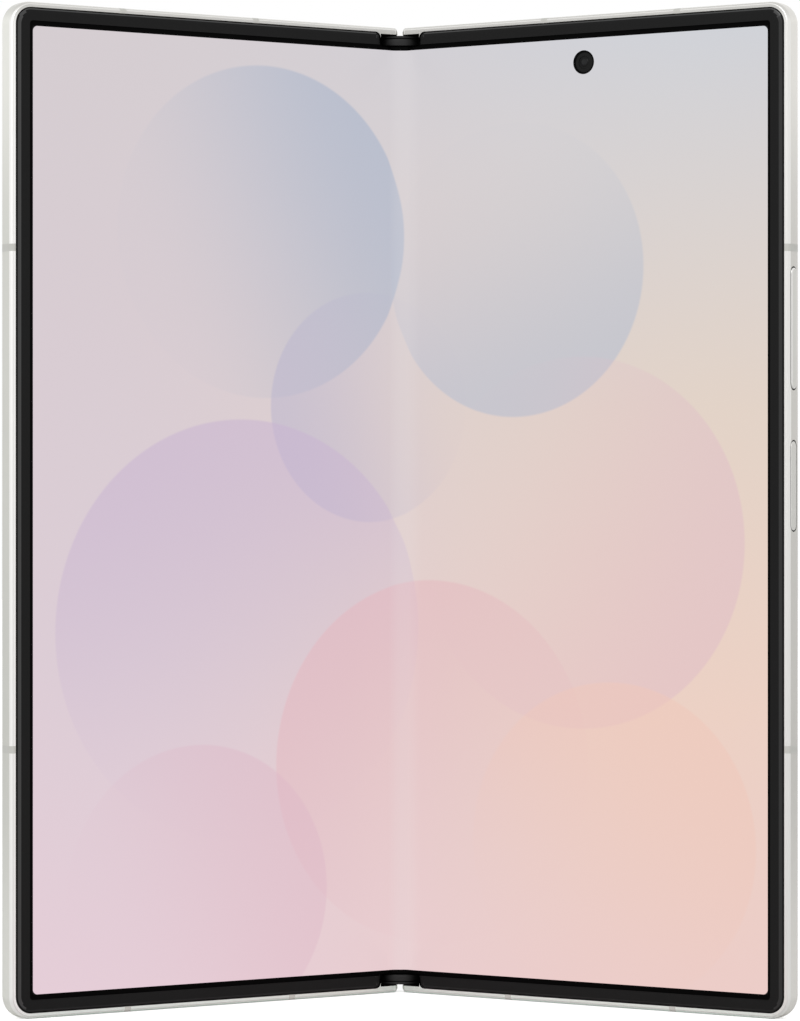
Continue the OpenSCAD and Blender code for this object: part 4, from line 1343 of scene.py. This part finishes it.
works = (
    (brushed("ground steel", tone(176, 177, 176), 0.32, 2),
     "hinge_base_blocks", "gear_shafts", "hinge_block_screws", *both("rotators"),
     *both("hinge_screws"), *both("board_screws")),
    (brushed("spring steel", tone(150, 148, 146), 0.28, 0), "disc_springs"),
    (brushed("cut brass", tone(206, 180, 116), 0.3, 2),
     "idler_gear_a", "idler_gear_b", *both("sync_arm")),
    (grained("can metal", tone(178, 180, 182), 0.34, 1.0, grain=1500, swing=0.08),
     "shield_cans", "sim_reader", "vibration_motor"),
    (grained("cell wrap", tone(52, 53, 56), 0.4, grain=220, cloud=0, dark=0.7,
             swing=0.1, lift=0.3, depth=0.0001, Coat_Weight=0.2), *both("battery")),
    (grained("graphite sheet", tone(58, 58, 60), 0.55, gloss=0.3, grain=2500,
             swing=0.12), "heat_spreader"),
    (grained("amber flex", tone(176, 112, 44), 0.4, gloss=0.45, grain=1800),
     "hinge_flex_cable", "key_flex"),
    (clear_coat("panel back", tone(22, 23, 26), 0.2), "cover_display_panel"),
    (board_finish("green board", tone(30, 84, 56)), "main_board", "sub_board"),
    (wound("wound copper", tone(200, 128, 84),
           sum(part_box("wireless_coil"), Vector()) / 2), "wireless_coil"),
    (grained("nickelled magnet", tone(164, 164, 166), 0.25, 1.0, grain=800,
             swing=0.06), *both("magnets")),
    (deep_black, "camera_modules", "loudspeaker", "earpiece"),
)
for finish, *inner_nodes in works:
    for node in inner_nodes:
        for place in frame["nodes"][node].material_slots:
            place.material = finish
    print(finish.name, "on", len(inner_nodes), "nodes that keep their shape")

# %% [markdown]
# ## The studio
#
# A pale floor and a white room. The room looks white to the camera, and to metal and glass that
# mirror it, but lights the phone at a plain level. A broad lamp high in front and a weaker one
# high behind give the edges soft lines of light, on top of the highlights and shade painted into
# the frame, bezel, cap and key finishes, and the floor keeps the phone's shadow.

# %% Room and floor
room = bpy.data.worlds.new("room")
bpy.context.scene.world = room
air = Nodes(room, "Background")
air.feed("Color", (1, 1, 1, 1))
ambient = air.add("Background", Color=(0.62, 0.62, 0.62, 1))
rays = air.add("LightPath").outputs
mirrored = air.sum("MAXIMUM", rays["Is Camera Ray"], rays["Is Glossy Ray"])
pick = air.add("MixShader", Fac=air.sum("MAXIMUM", mirrored,
                                        rays["Is Transmission Ray"]))
air.join(ambient.outputs[0], pick.inputs[1])
air.join(air.main.outputs[0], pick.inputs[2])
air.join(pick.outputs[0], air.tree.nodes["World Output"].inputs["Surface"])

floor = primitive("floor", bpy.ops.mesh.primitive_plane_add, size=6)
pale = Finish("pale floor", (0.9, 0.9, 0.9, 1), 0.7, gloss=0.1,
              Emission_Color=(1, 1, 1, 1))
shown = pale.add("LightPath").outputs["Is Camera Ray"]
pale.feed("Emission Strength", pale.sum("MULTIPLY", shown, 0.55))
coat(floor, pale.material)


# %% Lamps
def lamp(name, place, size, watts, aim=(0, 0, 0.08)):
    data = bpy.data.lights.new(name, "AREA")
    data.size, data.energy = size, watts
    light = bpy.data.objects.new(name, data)
    light.location = place
    light.rotation_euler = (Vector(aim) - Vector(place)).to_track_quat(
        "-Z", "Y").to_euler()
    bpy.context.collection.objects.link(light)


lamp("front lamp", (-0.3, -1.1, 0.9), 0.9, 5)
lamp("back lamp", (0.4, 1.2, 0.8), 1.4, 2)
bpy.context.scene.view_settings.view_transform = "Standard"
